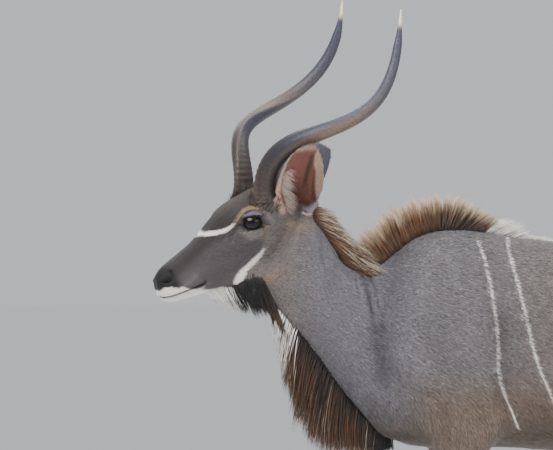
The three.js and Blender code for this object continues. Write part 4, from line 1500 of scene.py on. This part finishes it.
def make_horn(side, name):
    """One twisted horn with its rings, dark below and ivory at the tip."""
    rings, shares, angles = horn_rings(side)
    shape = bmesh.new()
    tube(shape, rings)
    mesh = finished(shape, name)
    count = HORN_SIDES
    t = np.repeat(shares, count)
    angle = np.tile(angles, len(shares))
    colour = np.tile(HORN_DARK, (len(t), 1))
    colour = blend(colour, eased(t, 0.1, 0.5), HORN_GREY)
    below = 0.5 + 0.5 * np.cos(angle - (2.3 if side > 0 else -2.3) - 2.2 * t)
    tan_part = eased(below, 0.55, 0.9) * hill(t - 0.42, 0.2)
    colour = blend(colour, 0.75 * tan_part, HORN_TAN)
    foot = 0.7 * (1 - eased(t, 0.03, 0.26)) * (0.5 + 0.5 * np.sin(5 * angle) ** 2)
    colour = blend(colour, foot, HORN_BROWN)
    keel = 0.4 * hill(np.minimum(angle, 2 * np.pi - angle), 0.22) * (1 - t)
    colour = blend(colour, keel, HORN_TAN)
    colour = blend(colour, eased(t, 0.925, 0.965), IVORY)
    paint(mesh, colour)
    piece = new_piece(name, mesh, HORN)
    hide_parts(name.replace("_shaped", ""))


make_horn(1, "horn_left_shaped")
make_horn(-1, "horn_right_shaped")

# Eyes


def eye_finish():
    """A wet, dark finish with a thin clear layer."""
    made, nodes, links, shader = made_material("eye", 0.06)
    grained(nodes, links, shader, 700, 4, (0, 1), (0.6, 1.4))
    shader.inputs["Specular IOR Level"].default_value = 0.1
    shader.inputs["Coat Weight"].default_value = 0.28
    shader.inputs["Coat Roughness"].default_value = 0.02
    shader.inputs["Coat IOR"].default_value = 1.376
    return made


EYE_FINISH = eye_finish()


def make_eye(side, node):
    """One eyeball with its iris, its wide pupil and its clear bulge."""
    centre, gaze, _, _ = eye_axes(side)
    shape = bmesh.new()
    turn = Vector((0, 0, 1)).rotation_difference(Vector(gaze))
    bmesh.ops.create_uvsphere(
        shape, u_segments=64, v_segments=56, radius=EYE_RADIUS * MM,
        matrix=Matrix.Translation(Vector(centre)) @ turn.to_matrix().to_4x4(),
    )
    mesh = finished(shape, node + "_ball")
    co = positions(mesh)
    across, lift, _ = eye_measures(co, side)
    off = np.hypot(across, lift)
    out = EYE_RADIUS - 0.1 + 1.3 * np.clip(1 - (off / 44) ** 2, 0, 1) ** 1.2
    set_positions(mesh, from_eye(unit(in_eye(co, side)), out, side))
    colour = np.tile(linear(24, 18, 15), (len(co), 1))
    iris = 1 - eased(off, 50, 54)
    colour = blend(colour, iris, linear(16, 10, 8))
    colour = blend(colour, iris * hill(off - 38, 9), linear(25, 16, 11))
    pupil = 1 - eased(np.hypot(across / 21, lift / 11), 0.92, 1.08)
    colour = blend(colour, pupil, linear(6, 6, 9))
    colour = blend(colour, hill(off - 53, 4), linear(12, 9, 8))
    paint(mesh, colour)
    piece = new_piece(node + "_ball", mesh, EYE_FINISH)
    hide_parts(node)


make_eye(1, "eye_left")
make_eye(-1, "eye_right")

# Hooves

HOOF = painted("hoof", 0.38, 0, 260, 0.3, 0.45, (1, 1, 0.25))
DEWCLAW_STANDS = 2
DEWCLAW_SCALE = 1.15


def make_hoof(node):
    """A claw or dewclaw: the CAD shape with softened edges and growth lines."""
    shape = bmesh.new()
    shape.from_mesh(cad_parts[node].data)
    bmesh.ops.remove_doubles(shape, verts=shape.verts, dist=0.05 * MM)
    bmesh.ops.dissolve_limit(
        shape, angle_limit=math.radians(4), verts=shape.verts, edges=shape.edges)
    sharp = [e for e in shape.edges if e.is_manifold and e.calc_face_angle(0) > 0.7]
    bmesh.ops.bevel(
        shape, geom=sharp, offset=1.6 * MM, affect="EDGES", segments=3, profile=0.5, material=-1)
    bmesh.ops.triangulate(shape, faces=shape.faces)
    bmesh.ops.subdivide_edges(shape, edges=shape.edges, cuts=2, smooth=0.0)
    bmesh.ops.smooth_vert(shape, verts=shape.verts, factor=0.5, use_axis_x=True,
                          use_axis_y=True, use_axis_z=False)
    bmesh.ops.recalc_face_normals(shape, faces=shape.faces)
    mesh = finished(shape, node + "_horn")
    co = positions(mesh)
    if node.startswith("dewclaw_"):
        middle = co.mean(0)
        root = np.array(skin_tree.find_nearest(Vector(middle))[0])
        seat = root + unit(middle - root) * DEWCLAW_STANDS * MM
        co = seat + (co - middle) * DEWCLAW_SCALE
        set_positions(mesh, co)
    z = body_measures(co)[2]
    colour = np.tile(linear(46, 42, 40), (len(co), 1))
    colour = blend(colour, eased(z, 30, 56), linear(74, 66, 58))
    colour = blend(colour, 0.4 * eased(-z, -9, -2), linear(120, 106, 90))
    colour = colour * (1 + 0.12 * np.sin(z / 2.1))[:, None]
    paint(mesh, colour)
    piece = new_piece(node + "_horn", mesh, HOOF)
    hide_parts(node)


for node in sorted(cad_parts):
    if node.startswith(("hoof_", "dewclaw_")):
        make_hoof(node)

# Long hair

# Each row: back and up at the root, back and up at the tip, half width, left, turn in degrees
NAPE_MANE = [
    (-392, 1356, -354, 1404, 10, 66, 15),
    (-366, 1318, -328, 1368, 14, 62, 14),
    (-330, 1272, -286, 1334, 15, 53, 13),
    (-296, 1226, -260, 1296, 16, 42, 12),
    (-266, 1204, -236, 1262, 16, 31, 10),
    (-240, 1196, -216, 1236, 10, 22, 8),
]
WITHERS_MANE = [
    (-222, 1214, -234, 1262, 9, 18, 7),
    (-196, 1236, -214, 1332, 15, 12, 5),
    (-156, 1270, -190, 1368, 18, 5, 3),
    (-112, 1296, -148, 1392, 18, 1, 1),
    (-66, 1310, -88, 1408, 18, 0, 0),
    (-18, 1314, -22, 1410, 17, 0, 0),
    (22, 1308, 32, 1390, 15, 0, 0),
    (60, 1302, 72, 1366, 11, 0, 0),
]
BACK_CREST = [
    (38, 1300, 90, 1350, 10, 0, 0),
    (150, 1286, 164, 1334, 10, 0, 0),
    (300, 1272, 314, 1316, 10, 0, 0),
    (480, 1272, 494, 1316, 10, 0, 0),
    (680, 1286, 694, 1330, 10, 0, 0),
    (860, 1288, 876, 1326, 10, 0, 0),
    (1000, 1260, 1018, 1290, 9, 0, 0),
    (1076, 1222, 1092, 1238, 5, 0, 0),
]
BEARD = [
    (-642, 1153, -640, 1136, 7, 90, 15),
    (-614, 1152, -616, 1128, 11, 88, 15),
    (-588, 1160, -588, 1110, 18, 85, 15),
    (-556, 1166, -552, 1088, 24, 80, 15),
    (-522, 1172, -512, 1078, 24, 75, 15),
    (-498, 1166, -490, 1086, 18, 70, 14),
    (-482, 1148, -474, 1052, 14, 66, 14),
]
THROAT_FRINGE = [
    (-468, 1112, -488, 1066, 12, 62, 14),
    (-440, 1072, -484, 1008, 18, 56, 14),
    (-412, 1036, -478, 940, 20, 48, 13),
    (-378, 996, -462, 870, 21, 38, 11),
    (-342, 950, -428, 806, 22, 27, 9),
    (-306, 912, -376, 764, 21, 19, 7),
    (-268, 872, -320, 762, 19, 11, 5),
    (-232, 832, -266, 756, 16, 6, 3),
    (-200, 800, -212, 744, 12, 3, 2),
    (-170, 784, -166, 742, 7, 1, 0),
]
TAIL_BRUSH = [
    (1168, 1040, 1172, 812, 26, 0, 0),
    (1190, 1040, 1178, 812, 26, 0, 0),
]


def rows_at(rows, share):
    """The columns of a table at shares of its length."""
    table = np.array(rows, float)
    at = share * (len(rows) - 1)
    return [np.interp(at, np.arange(len(rows)), table[:, k]) for k in range(table.shape[1])]


def shaded(*stops):
    """A colour that runs from root to tip through stops of (share, colours)."""
    def tone(s):
        for (a, first), (b, second) in zip(stops[:-1], stops[1:]):
            if s <= b:
                f = (s - a) / (b - a)
                return first * (1 - f) + second * f
        return stops[-1][1]
    return tone


def middle_plane(back, up, count):
    """Ways in the body's middle plane, one for each hair."""
    return np.stack([np.zeros(count), np.zeros(count) + back, np.zeros(count) + up], axis=1)


def varied(colour, count, amount):
    """Copies of a colour, some lighter and some darker."""
    return np.tile(colour, (count, 1)) * (1 + amount * (dice.random(count) * 2 - 1))[:, None]


def rooted(start, ways, length, reach, deeper=4):
    """Draws hairs that begin clear of the skin back along their way, down to it."""
    start, length = start.copy(), length.copy()
    for i in range(len(start)):
        back = Vector(-ways[i])
        hit, normal, _, away = skin_tree.ray_cast(Vector(start[i]), back, reach * MM)
        if hit is not None and normal.dot(back) < 0:
            start[i] -= ways[i] * (away + deeper * MM)
            length[i] += away / MM + deeper
    return start, length


def locked(start, ways, length, share, lateral, locks, across, pull):
    """Draws the hairs of each lock towards the lock's own tip."""
    total = locks * across
    uneven = share + 0.35 / locks * np.sin(share * locks * 1.7) + 0.4 / locks * lateral
    lock = np.clip((uneven * locks).astype(int), 0, locks - 1) * across
    lock = lock + np.minimum(((lateral + 1) / 2 * across).astype(int), across - 1)
    tally = np.maximum(np.bincount(lock, minlength=total), 1)

    def middle(values):
        return np.stack([np.bincount(lock, values[:, k], total) / tally for k in range(3)], axis=1)

    own = ways * length[:, None]
    base, reach = middle(start), middle(own)
    size = np.linalg.norm(reach, axis=1)[:, None]
    longer = 0.86 + 0.36 * dice.random(total)[:, None]
    tip = base + reach * longer + dice.normal(0, 0.11, (total, 3)) * size
    wanted = tip[lock] - start
    short = (0.6 + 0.4 * dice.random(len(start)) ** 0.5)[:, None]
    pull = (pull * (0.5 + dice.random(len(start))))[:, None].clip(0, 1)
    made = own * (1 - pull) + wanted * short * pull
    length = np.linalg.norm(made, axis=1)
    return made / length[:, None], length


def long_hair(name, rows, count, width, steps, style, replaced):
    """Locks between the root line and the tip line of a table. Style gives each its way."""
    share = (np.arange(count) + dice.random(count)) / count
    root_y, root_z, tip_y, tip_z, half, x, turn = rows_at(rows, share)
    lateral = dice.uniform(-1, 1, count)
    turn = np.radians(turn)
    side = np.stack([np.cos(turn), np.sin(turn), np.zeros(count)], axis=1)
    root = np.stack([x, root_y, root_z], axis=1)
    blade = np.stack([x, tip_y, tip_z], axis=1) - root
    reach = np.linalg.norm(blade, axis=1)
    blade = unit(blade)
    made = style(share, lateral, blade, reach, count)
    ways = unit(made["way"] + side * (lateral * made.get("flare", 0.12))[:, None])
    length = made["length"]
    start = root + side * (lateral * half * 0.85)[:, None]
    start = start + blade * (made.get("start", np.zeros(count)) * reach)[:, None]
    if "locks" in made:
        ways, length = locked(start, ways, length, share, lateral, *made["locks"])
    start = STAND + start * MM
    if made.get("on_top"):
        for i in range(count):
            hit = skin_tree.ray_cast(Vector(start[i] + [0, 0, 0.12]), Vector((0, 0, -1)), 0.2)[0]
            start[i, 2] = start[i, 2] if hit is None else hit.z - 3 * MM
    start, length = rooted(start, ways, length, made.get("back", 40))
    normals = np.cross(ways, np.tile([0, 0, 1.0], (count, 1)))
    normals = unit(np.where(np.linalg.norm(normals, axis=1)[:, None] < 0.2, side, normals))
    normals = np.where((lateral > 0)[:, None] == (normals[:, :1] > 0), normals, -normals)
    uv = np.stack([0.02 + 0.96 * share, 0.5 + 0.47 * lateral], axis=1)
    wide = width * (0.7 + 0.6 * dice.random(count))
    piece = strands(
        name, start, ways, normals, length * MM, wide * MM, wide * 0.6 * MM,
        steps, made["tone"], made["bend"], uv, HAIR,
    )
    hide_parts(replaced)
    return piece


def withers_style(share, lateral, blade, reach, count):
    """Upright locks, brown with cream tips, leaning apart towards both ends."""
    lean = -0.75 * (1 - eased(share, 0.0, 0.4)) + 1.0 * eased(share, 0.5, 1.0)
    way = blade + middle_plane(lean, 0, count)
    way = unit(way + dice.normal(0, 0.08, (count, 3)))
    length = reach * (0.66 + 0.34 * dice.random(count) ** 0.6) * (1 - 0.12 * eased(share, 0.7, 1))
    grey = eased(share, 0.45, 0.8)[:, None]
    dark = varied(DARK_BROWN, count, 0.3) * (1 - grey)
    dark = dark + varied(linear(44, 40, 40), count, 0.3) * grey
    brown = varied(linear(106, 74, 50), count, 0.35)
    brown = brown * (1 - 0.5 * grey) + varied(linear(84, 72, 62), count, 0.3) * 0.5 * grey
    cream = varied(linear(214, 194, 164), count, 0.15)
    mostly = (0.3 + 0.7 * dice.random(count))[:, None]
    tip = cream * mostly + brown * (1 - mostly)
    low = dark * (0.4 + 0.45 * grey) + brown * (0.6 - 0.45 * grey)
    return {"way": way, "length": length, "flare": 0.16, "locks": (44, 4, 0.6),
            "bend": middle_plane(0.10 * lean, -0.04, count),
            "tone": shaded((0, dark), (0.3, low), (0.56, brown), (0.76, brown * 0.3 + tip * 0.7),
                           (1, tip))}


def nape_style(share, lateral, blade, reach, count):
    """Locks that fall along the neck, brown and cream."""
    crest = unit(np.array([-0.1, 0.60, -0.78]))
    lie = dice.random(count)
    upward = 0.3 * (1 - eased(share, 0.05, 0.2))
    way = crest * (0.45 + 0.75 * lie)[:, None] + blade * (0.95 + upward - 0.75 * lie)[:, None]
    way = unit(way + dice.normal(0, 0.06, (count, 3)))
    length = reach * (0.9 + 0.75 * lie + 0.25 * dice.random(count))
    length = length * (1 - 0.5 * eased(share, 0.72, 1))
    length = length * (1 - 0.3 * (1 - eased(share, 0.06, 0.3)))
    dark = varied(linear(54, 40, 32), count, 0.3)
    brown = varied(linear(104, 74, 52), count, 0.3)
    cream = varied(linear(226, 212, 190), count, 0.12)
    pale = (dice.random(count) < 0.25 + 0.4 * (1 - lie))[:, None]
    tip = np.where(pale, cream, brown)
    middle = np.where(pale, brown * 0.35 + cream * 0.65, brown * 0.8 + dark * 0.2)
    return {"way": way, "length": length, "flare": 0.1, "locks": (16, 3, 0.5),
            "bend": middle_plane(0.2 * (1 - lie), -0.42 * (1 - lie) - 0.06, count),
            "start": 0.3 * dice.random(count),
            "tone": shaded((0, dark), (0.28, brown), (0.55, middle), (1, tip))}


def crest_style(share, lateral, blade, reach, count):
    """Short white tufts along the spine."""
    rise = 0.62 - 0.34 * eased(share, 0.02, 0.3)
    way = middle_plane(0.9, rise, count)
    way = unit(way + dice.normal(0, 0.08, (count, 3)))
    tall = 1.45 - 0.9 * eased(share, 0.04, 0.16)
    length = 60 * tall * (0.6 + 0.5 * dice.random(count))
    base = varied(linear(150, 140, 130), count, 0.2)
    white = varied(WHITE_HAIR, count, 0.08)
    return {"way": way, "length": length, "flare": 0.2, "locks": (90, 2, 0.5), "on_top": True,
            "bend": middle_plane(0.1, -0.12, count),
            "tone": shaded((0, base), (0.35, white), (1, white))}


def beard_style(share, lateral, blade, reach, count):
    """White in front, black behind, with rust ends at the back."""
    white = (share + 0.05 * dice.normal(0, 1, count)) < 0.33
    back = np.where(white[:, None], [0.0, 0.62, -0.5], [0.0, 0.32, -0.75])
    way = unit(blade * 0.5 + back + dice.normal(0, 0.08, (count, 3)))
    length = reach * (0.35 + 0.35 * dice.random(count) + 0.3 * eased(share, 0.76, 0.95)) + 6
    length = length * np.where(white, 1.3, 1.0)
    black = varied(BLACK_HAIR, count, 0.45)
    pale = varied(WHITE_HAIR * 0.9, count, 0.15)
    base = np.where(white[:, None], pale, black)
    few = (dice.random(count) < 0.08 + 0.6 * eased(share, 0.72, 0.95))[:, None]
    tip = np.where(few & ~white[:, None], varied(linear(120, 96, 74), count, 0.2), base)
    return {"way": way, "length": length, "flare": 0.1, "back": 38, "locks": (12, 4, 0.5),
            "bend": middle_plane(0.1, -0.2, count),
            "start": 0.2 * dice.random(count) ** 1.5,
            "tone": shaded((0, base), (0.4, base), (1, tip))}


def fringe_style(share, lateral, blade, reach, count):
    """Long black locks with rust tips, and white ones at the top."""
    hang = np.array([0.0, 0.04, -1.0])
    mixed = dice.random(count)
    way = unit(blade * (0.35 + 0.75 * mixed)[:, None] + hang * (0.8 - 0.55 * mixed)[:, None]
               + dice.normal(0, 0.06, (count, 3)))
    length = reach * (0.6 + 0.46 * dice.random(count) ** 0.7)
    top = share + 0.035 * dice.normal(0, 1, count)
    white = (top < 0.17) & (dice.random(count) < 0.85)
    start = 0.35 * dice.random(count) ** 1.5
    length = length * (1 - start * 0.8) * (1 - 0.55 * eased(share, 0.84, 1))
    black = varied(BLACK_HAIR, count, 0.4)
    rust = varied(linear(108, 76, 54), count, 0.35)
    pale = varied(linear(228, 224, 220), count, 0.1)
    few = (dice.random(count) < 0.035)[:, None]
    outer = np.clip(mixed * 1.3 + 0.5 * start, 0, 1) * (1 - eased(share, 0.72, 0.9))
    outer = outer[:, None]
    tip = black * (1 - outer) + rust * outer
    tip = np.where(few, varied(CREAM, count, 0.2), tip)
    root = np.where(white[:, None], pale, black)
    tip = np.where(white[:, None], pale, tip)
    return {"way": way, "length": length, "flare": 0.1, "start": start, "back": 50,
            "locks": (60, 4, 0.45),
            "bend": middle_plane(0.16 * mixed, -0.12, count),
            "tone": shaded((0, root), (0.45, root * 0.55 + tip * 0.45), (1, tip))}


def brush_style(share, lateral, blade, reach, count):
    """The black end of the tail."""
    way = unit(blade + dice.normal(0, 0.07, (count, 3)))
    length = reach * (0.45 + 0.4 * dice.random(count))
    start = 0.3 * dice.random(count)
    black = varied(BLACK_HAIR, count, 0.4)
    return {"way": way, "length": length, "flare": -0.05, "start": start,
            "bend": middle_plane(0.02, -0.05, count),
            "tone": shaded((0, black), (1, varied(linear(46, 38, 34), count, 0.3)))}


for name, rows, count, width, steps, style, replaced, finish in (
    ("mane_on_withers", WITHERS_MANE, 4400, 2.1, 4, withers_style, "withers_mane", "long_hair"),
    ("mane_on_nape", NAPE_MANE, 3000, 1.9, 4, nape_style, "nape_mane", "long_hair"),
    ("crest_on_back", BACK_CREST, 3200, 1.9, 3, crest_style, "back_crest", "white_hair"),
    ("beard_hair", BEARD, 2700, 1.7, 4, beard_style, "beard", "dark_hair"),
    ("throat_hair", THROAT_FRINGE, 5200, 2.3, 4, fringe_style, "throat_fringe", "dark_hair"),
    ("tail_hair", TAIL_BRUSH, 1000, 2.8, 4, brush_style, "tail_brush", "dark_hair"),
):
    piece = long_hair(name, rows, amount_of(count), width, steps, style, replaced)

# Small hair of the head


def head_hair(name, start, ways, normals, length, width, steps, tone, bend, turn, along):
    """Hairs of the head, in one mesh; turn and along place them on the unwrap."""
    uv = np.stack([0.02 + 0.96 * spread(turn), 0.02 + 0.96 * spread(along)], axis=1)
    piece = strands(name, start, ways, normals, length * MM, width * MM, width * 0.6 * MM,
                    steps, tone, bend, uv, HAIR)
    return piece


def hair_at_horn(side, name, count):
    """Hairs that stand about the root of a horn."""
    base, ahead = horn_place(0.0, side), horn_place(0.06, side)
    along = unit(ahead - base)
    first = unit(np.cross(along, [0, 0, 1.0]))
    second = np.cross(along, first)
    angle = dice.random(count) * 2 * np.pi
    out = first * np.cos(angle)[:, None] + second * np.sin(angle)[:, None]
    off = dice.uniform(27, 42, count)
    start = base + out * (off * MM)[:, None] + along * 16 * MM
    ways = unit(along + 0.25 * out + dice.normal(0, 0.16, (count, 3)) - 0.35 * along_head(1, 0, 0))
    length = (24 - 0.3 * (off - 27)) * (0.6 + 0.6 * dice.random(count))
    drop = -along
    for i in range(count):
        hit = skin_tree.ray_cast(Vector(start[i]), Vector(drop), 70 * MM)[0]
        if hit is None:
            hit = skin_tree.find_nearest(Vector(start[i]))[0]
        start[i] = np.array(hit) + drop * 3 * MM
    dark = varied(linear(56, 48, 44), count, 0.4)
    light = varied(linear(128, 116, 104), count, 0.25)
    tip = np.where((dice.random(count) < 0.22)[:, None], light, dark)
    return head_hair(name, start, ways, out, length, 1.5 + 0 * off, 3,
                     shaded((0, dark), (1, tip)), 0.15 * out - 0.1 * along_head(1, 0, 0),
                     angle, off)


def hair_in_ear(side, name, count):
    """Pale hairs that reach in from the rim of an ear."""
    base, along, across, opening, whole = ear_axes(side)
    share = 0.04 + 0.56 * dice.random(count) ** 1.1
    shift, half, deep = ear_row(share)
    inset = dice.uniform(0.55, 0.98, count)
    start = (base + along * (share * whole)[:, None]
             + across * ((shift - inset * half) * MM)[:, None])
    sunk = -deep * np.sqrt(np.clip(1 - inset**2, 0, 1)) + 4
    start = start + opening * (sunk * MM)[:, None]
    ways = unit(across * 0.9 + opening * 0.25 - along * (0.4 * dice.random(count))[:, None]
                + dice.normal(0, 0.13, (count, 3)))
    length = (30 + 26 * dice.random(count)) * (1.1 - 0.8 * share)
    white = varied(linear(214, 200, 188), count, 0.22)
    brown = varied(linear(150, 108, 88), count, 0.2)
    return head_hair(name, start, ways, np.tile(opening, (count, 1)), length, 1.1 + 0 * share, 3,
                     shaded((0, brown), (0.35, brown * 0.4 + white * 0.6), (1, white)),
                     np.tile(-0.45 * along - 0.1 * opening, (count, 1)), share, inset)


def lashes(side, name, count):
    """The lashes of an upper lid."""
    _, gaze, ahead, above = eye_axes(side)
    turn = dice.uniform(-62, 56, count)
    lift = LID_UPPER * np.clip(1 - (turn / LID_LENGTH) ** 2, 0, 1) ** LID_POWER + 3
    a, b = np.radians(turn), np.radians(lift)
    way = (gaze * (np.cos(b) * np.cos(a))[:, None] + ahead * (np.cos(b) * np.sin(a))[:, None]
           + above * np.sin(b)[:, None])
    start = from_eye(way, EYE_RADIUS + 1.6, side)
    ways = unit(way + 0.3 * above - 0.1 * ahead + dice.normal(0, 0.1, (count, 3)))
    length = 9 * (0.7 + 0.5 * dice.random(count))
    black = varied(BLACK_HAIR, count, 0.3)
    return head_hair(name, start, ways, np.tile(ahead, (count, 1)), length, 0.8 + 0 * turn, 3,
                     shaded((0, black), (1, black)), np.tile(-0.35 * above, (count, 1)),
                     turn, lift)


def hair_over_hooves(points):
    """A band above the hooves."""
    z = body_measures(points)[2]
    return 1.0 * ((z > 50) & (z < 92))


def tail_edges(points):
    """Along both edges of the tail."""
    x, y, z = body_measures(points)
    return (y > 1130) * (z > 930) * (z < 1180) * (0.15 + 3 * eased(np.abs(x), 9, 18))


make_coat([
    ("hair_over_hooves", hair_over_hooves, 3600, even_size(17.0, 1.7, 16.0), leg_unwrap, 0.16),
    ("hair_of_tail", tail_edges, 2200, even_size(24.0, 1.7, 26.0), leg_unwrap, 0.16),
])

for side, word in ((1, "left"), (-1, "right")):
    hair_at_horn(side, "hair_at_horn_" + word, 340)
    hair_in_ear(side, "hair_in_ear_" + word, 520)
    lashes(side, "lashes_" + word, 70)

# Floor and light


def make_stage():
    """The floor, the sky and four lamps."""
    shape = bmesh.new()
    bmesh.ops.create_grid(shape, x_segments=1, y_segments=1, size=400)
    mesh = bpy.data.meshes.new("floor")
    shape.to_mesh(mesh)
    shape.free()
    floor = bpy.data.objects.new("floor", mesh)
    bpy.context.scene.collection.objects.link(floor)
    made = bpy.data.materials.new("pale_floor")
    made.use_nodes = True
    shader = made.node_tree.nodes["Principled BSDF"]
    shader.inputs["Base Color"].default_value = (0.93, 0.93, 0.925, 1)
    shader.inputs["Roughness"].default_value = 0.9
    mesh.materials.append(made)
    world = bpy.data.worlds.new("studio")
    world.use_nodes = True
    sky = world.node_tree.nodes["Background"]
    sky.inputs["Color"].default_value = (0.86, 0.88, 0.92, 1)
    sky.inputs["Strength"].default_value = 0.72
    bpy.context.scene.world = world
    middle = Vector(STAND) + Vector((0, 0.3, 1.1))
    for name, way, size, power in (
        ("key", (2.6, -2.4, 3.4), 2.6, 330),
        ("fill", (3.2, 2.6, 1.6), 3.2, 110),
        ("top", (-0.6, 0.6, 4.0), 3.0, 170),
        ("far", (-3.4, -0.6, 2.0), 3.0, 90),
    ):
        data = bpy.data.lights.new(name, "AREA")
        data.size = size
        data.energy = power
        lamp = bpy.data.objects.new(name, data)
        lamp.location = middle + Vector(way)
        lamp.rotation_mode = "QUATERNION"
        lamp.rotation_quaternion = Vector(way).to_track_quat("Z", "Y")
        bpy.context.scene.collection.objects.link(lamp)


make_stage()
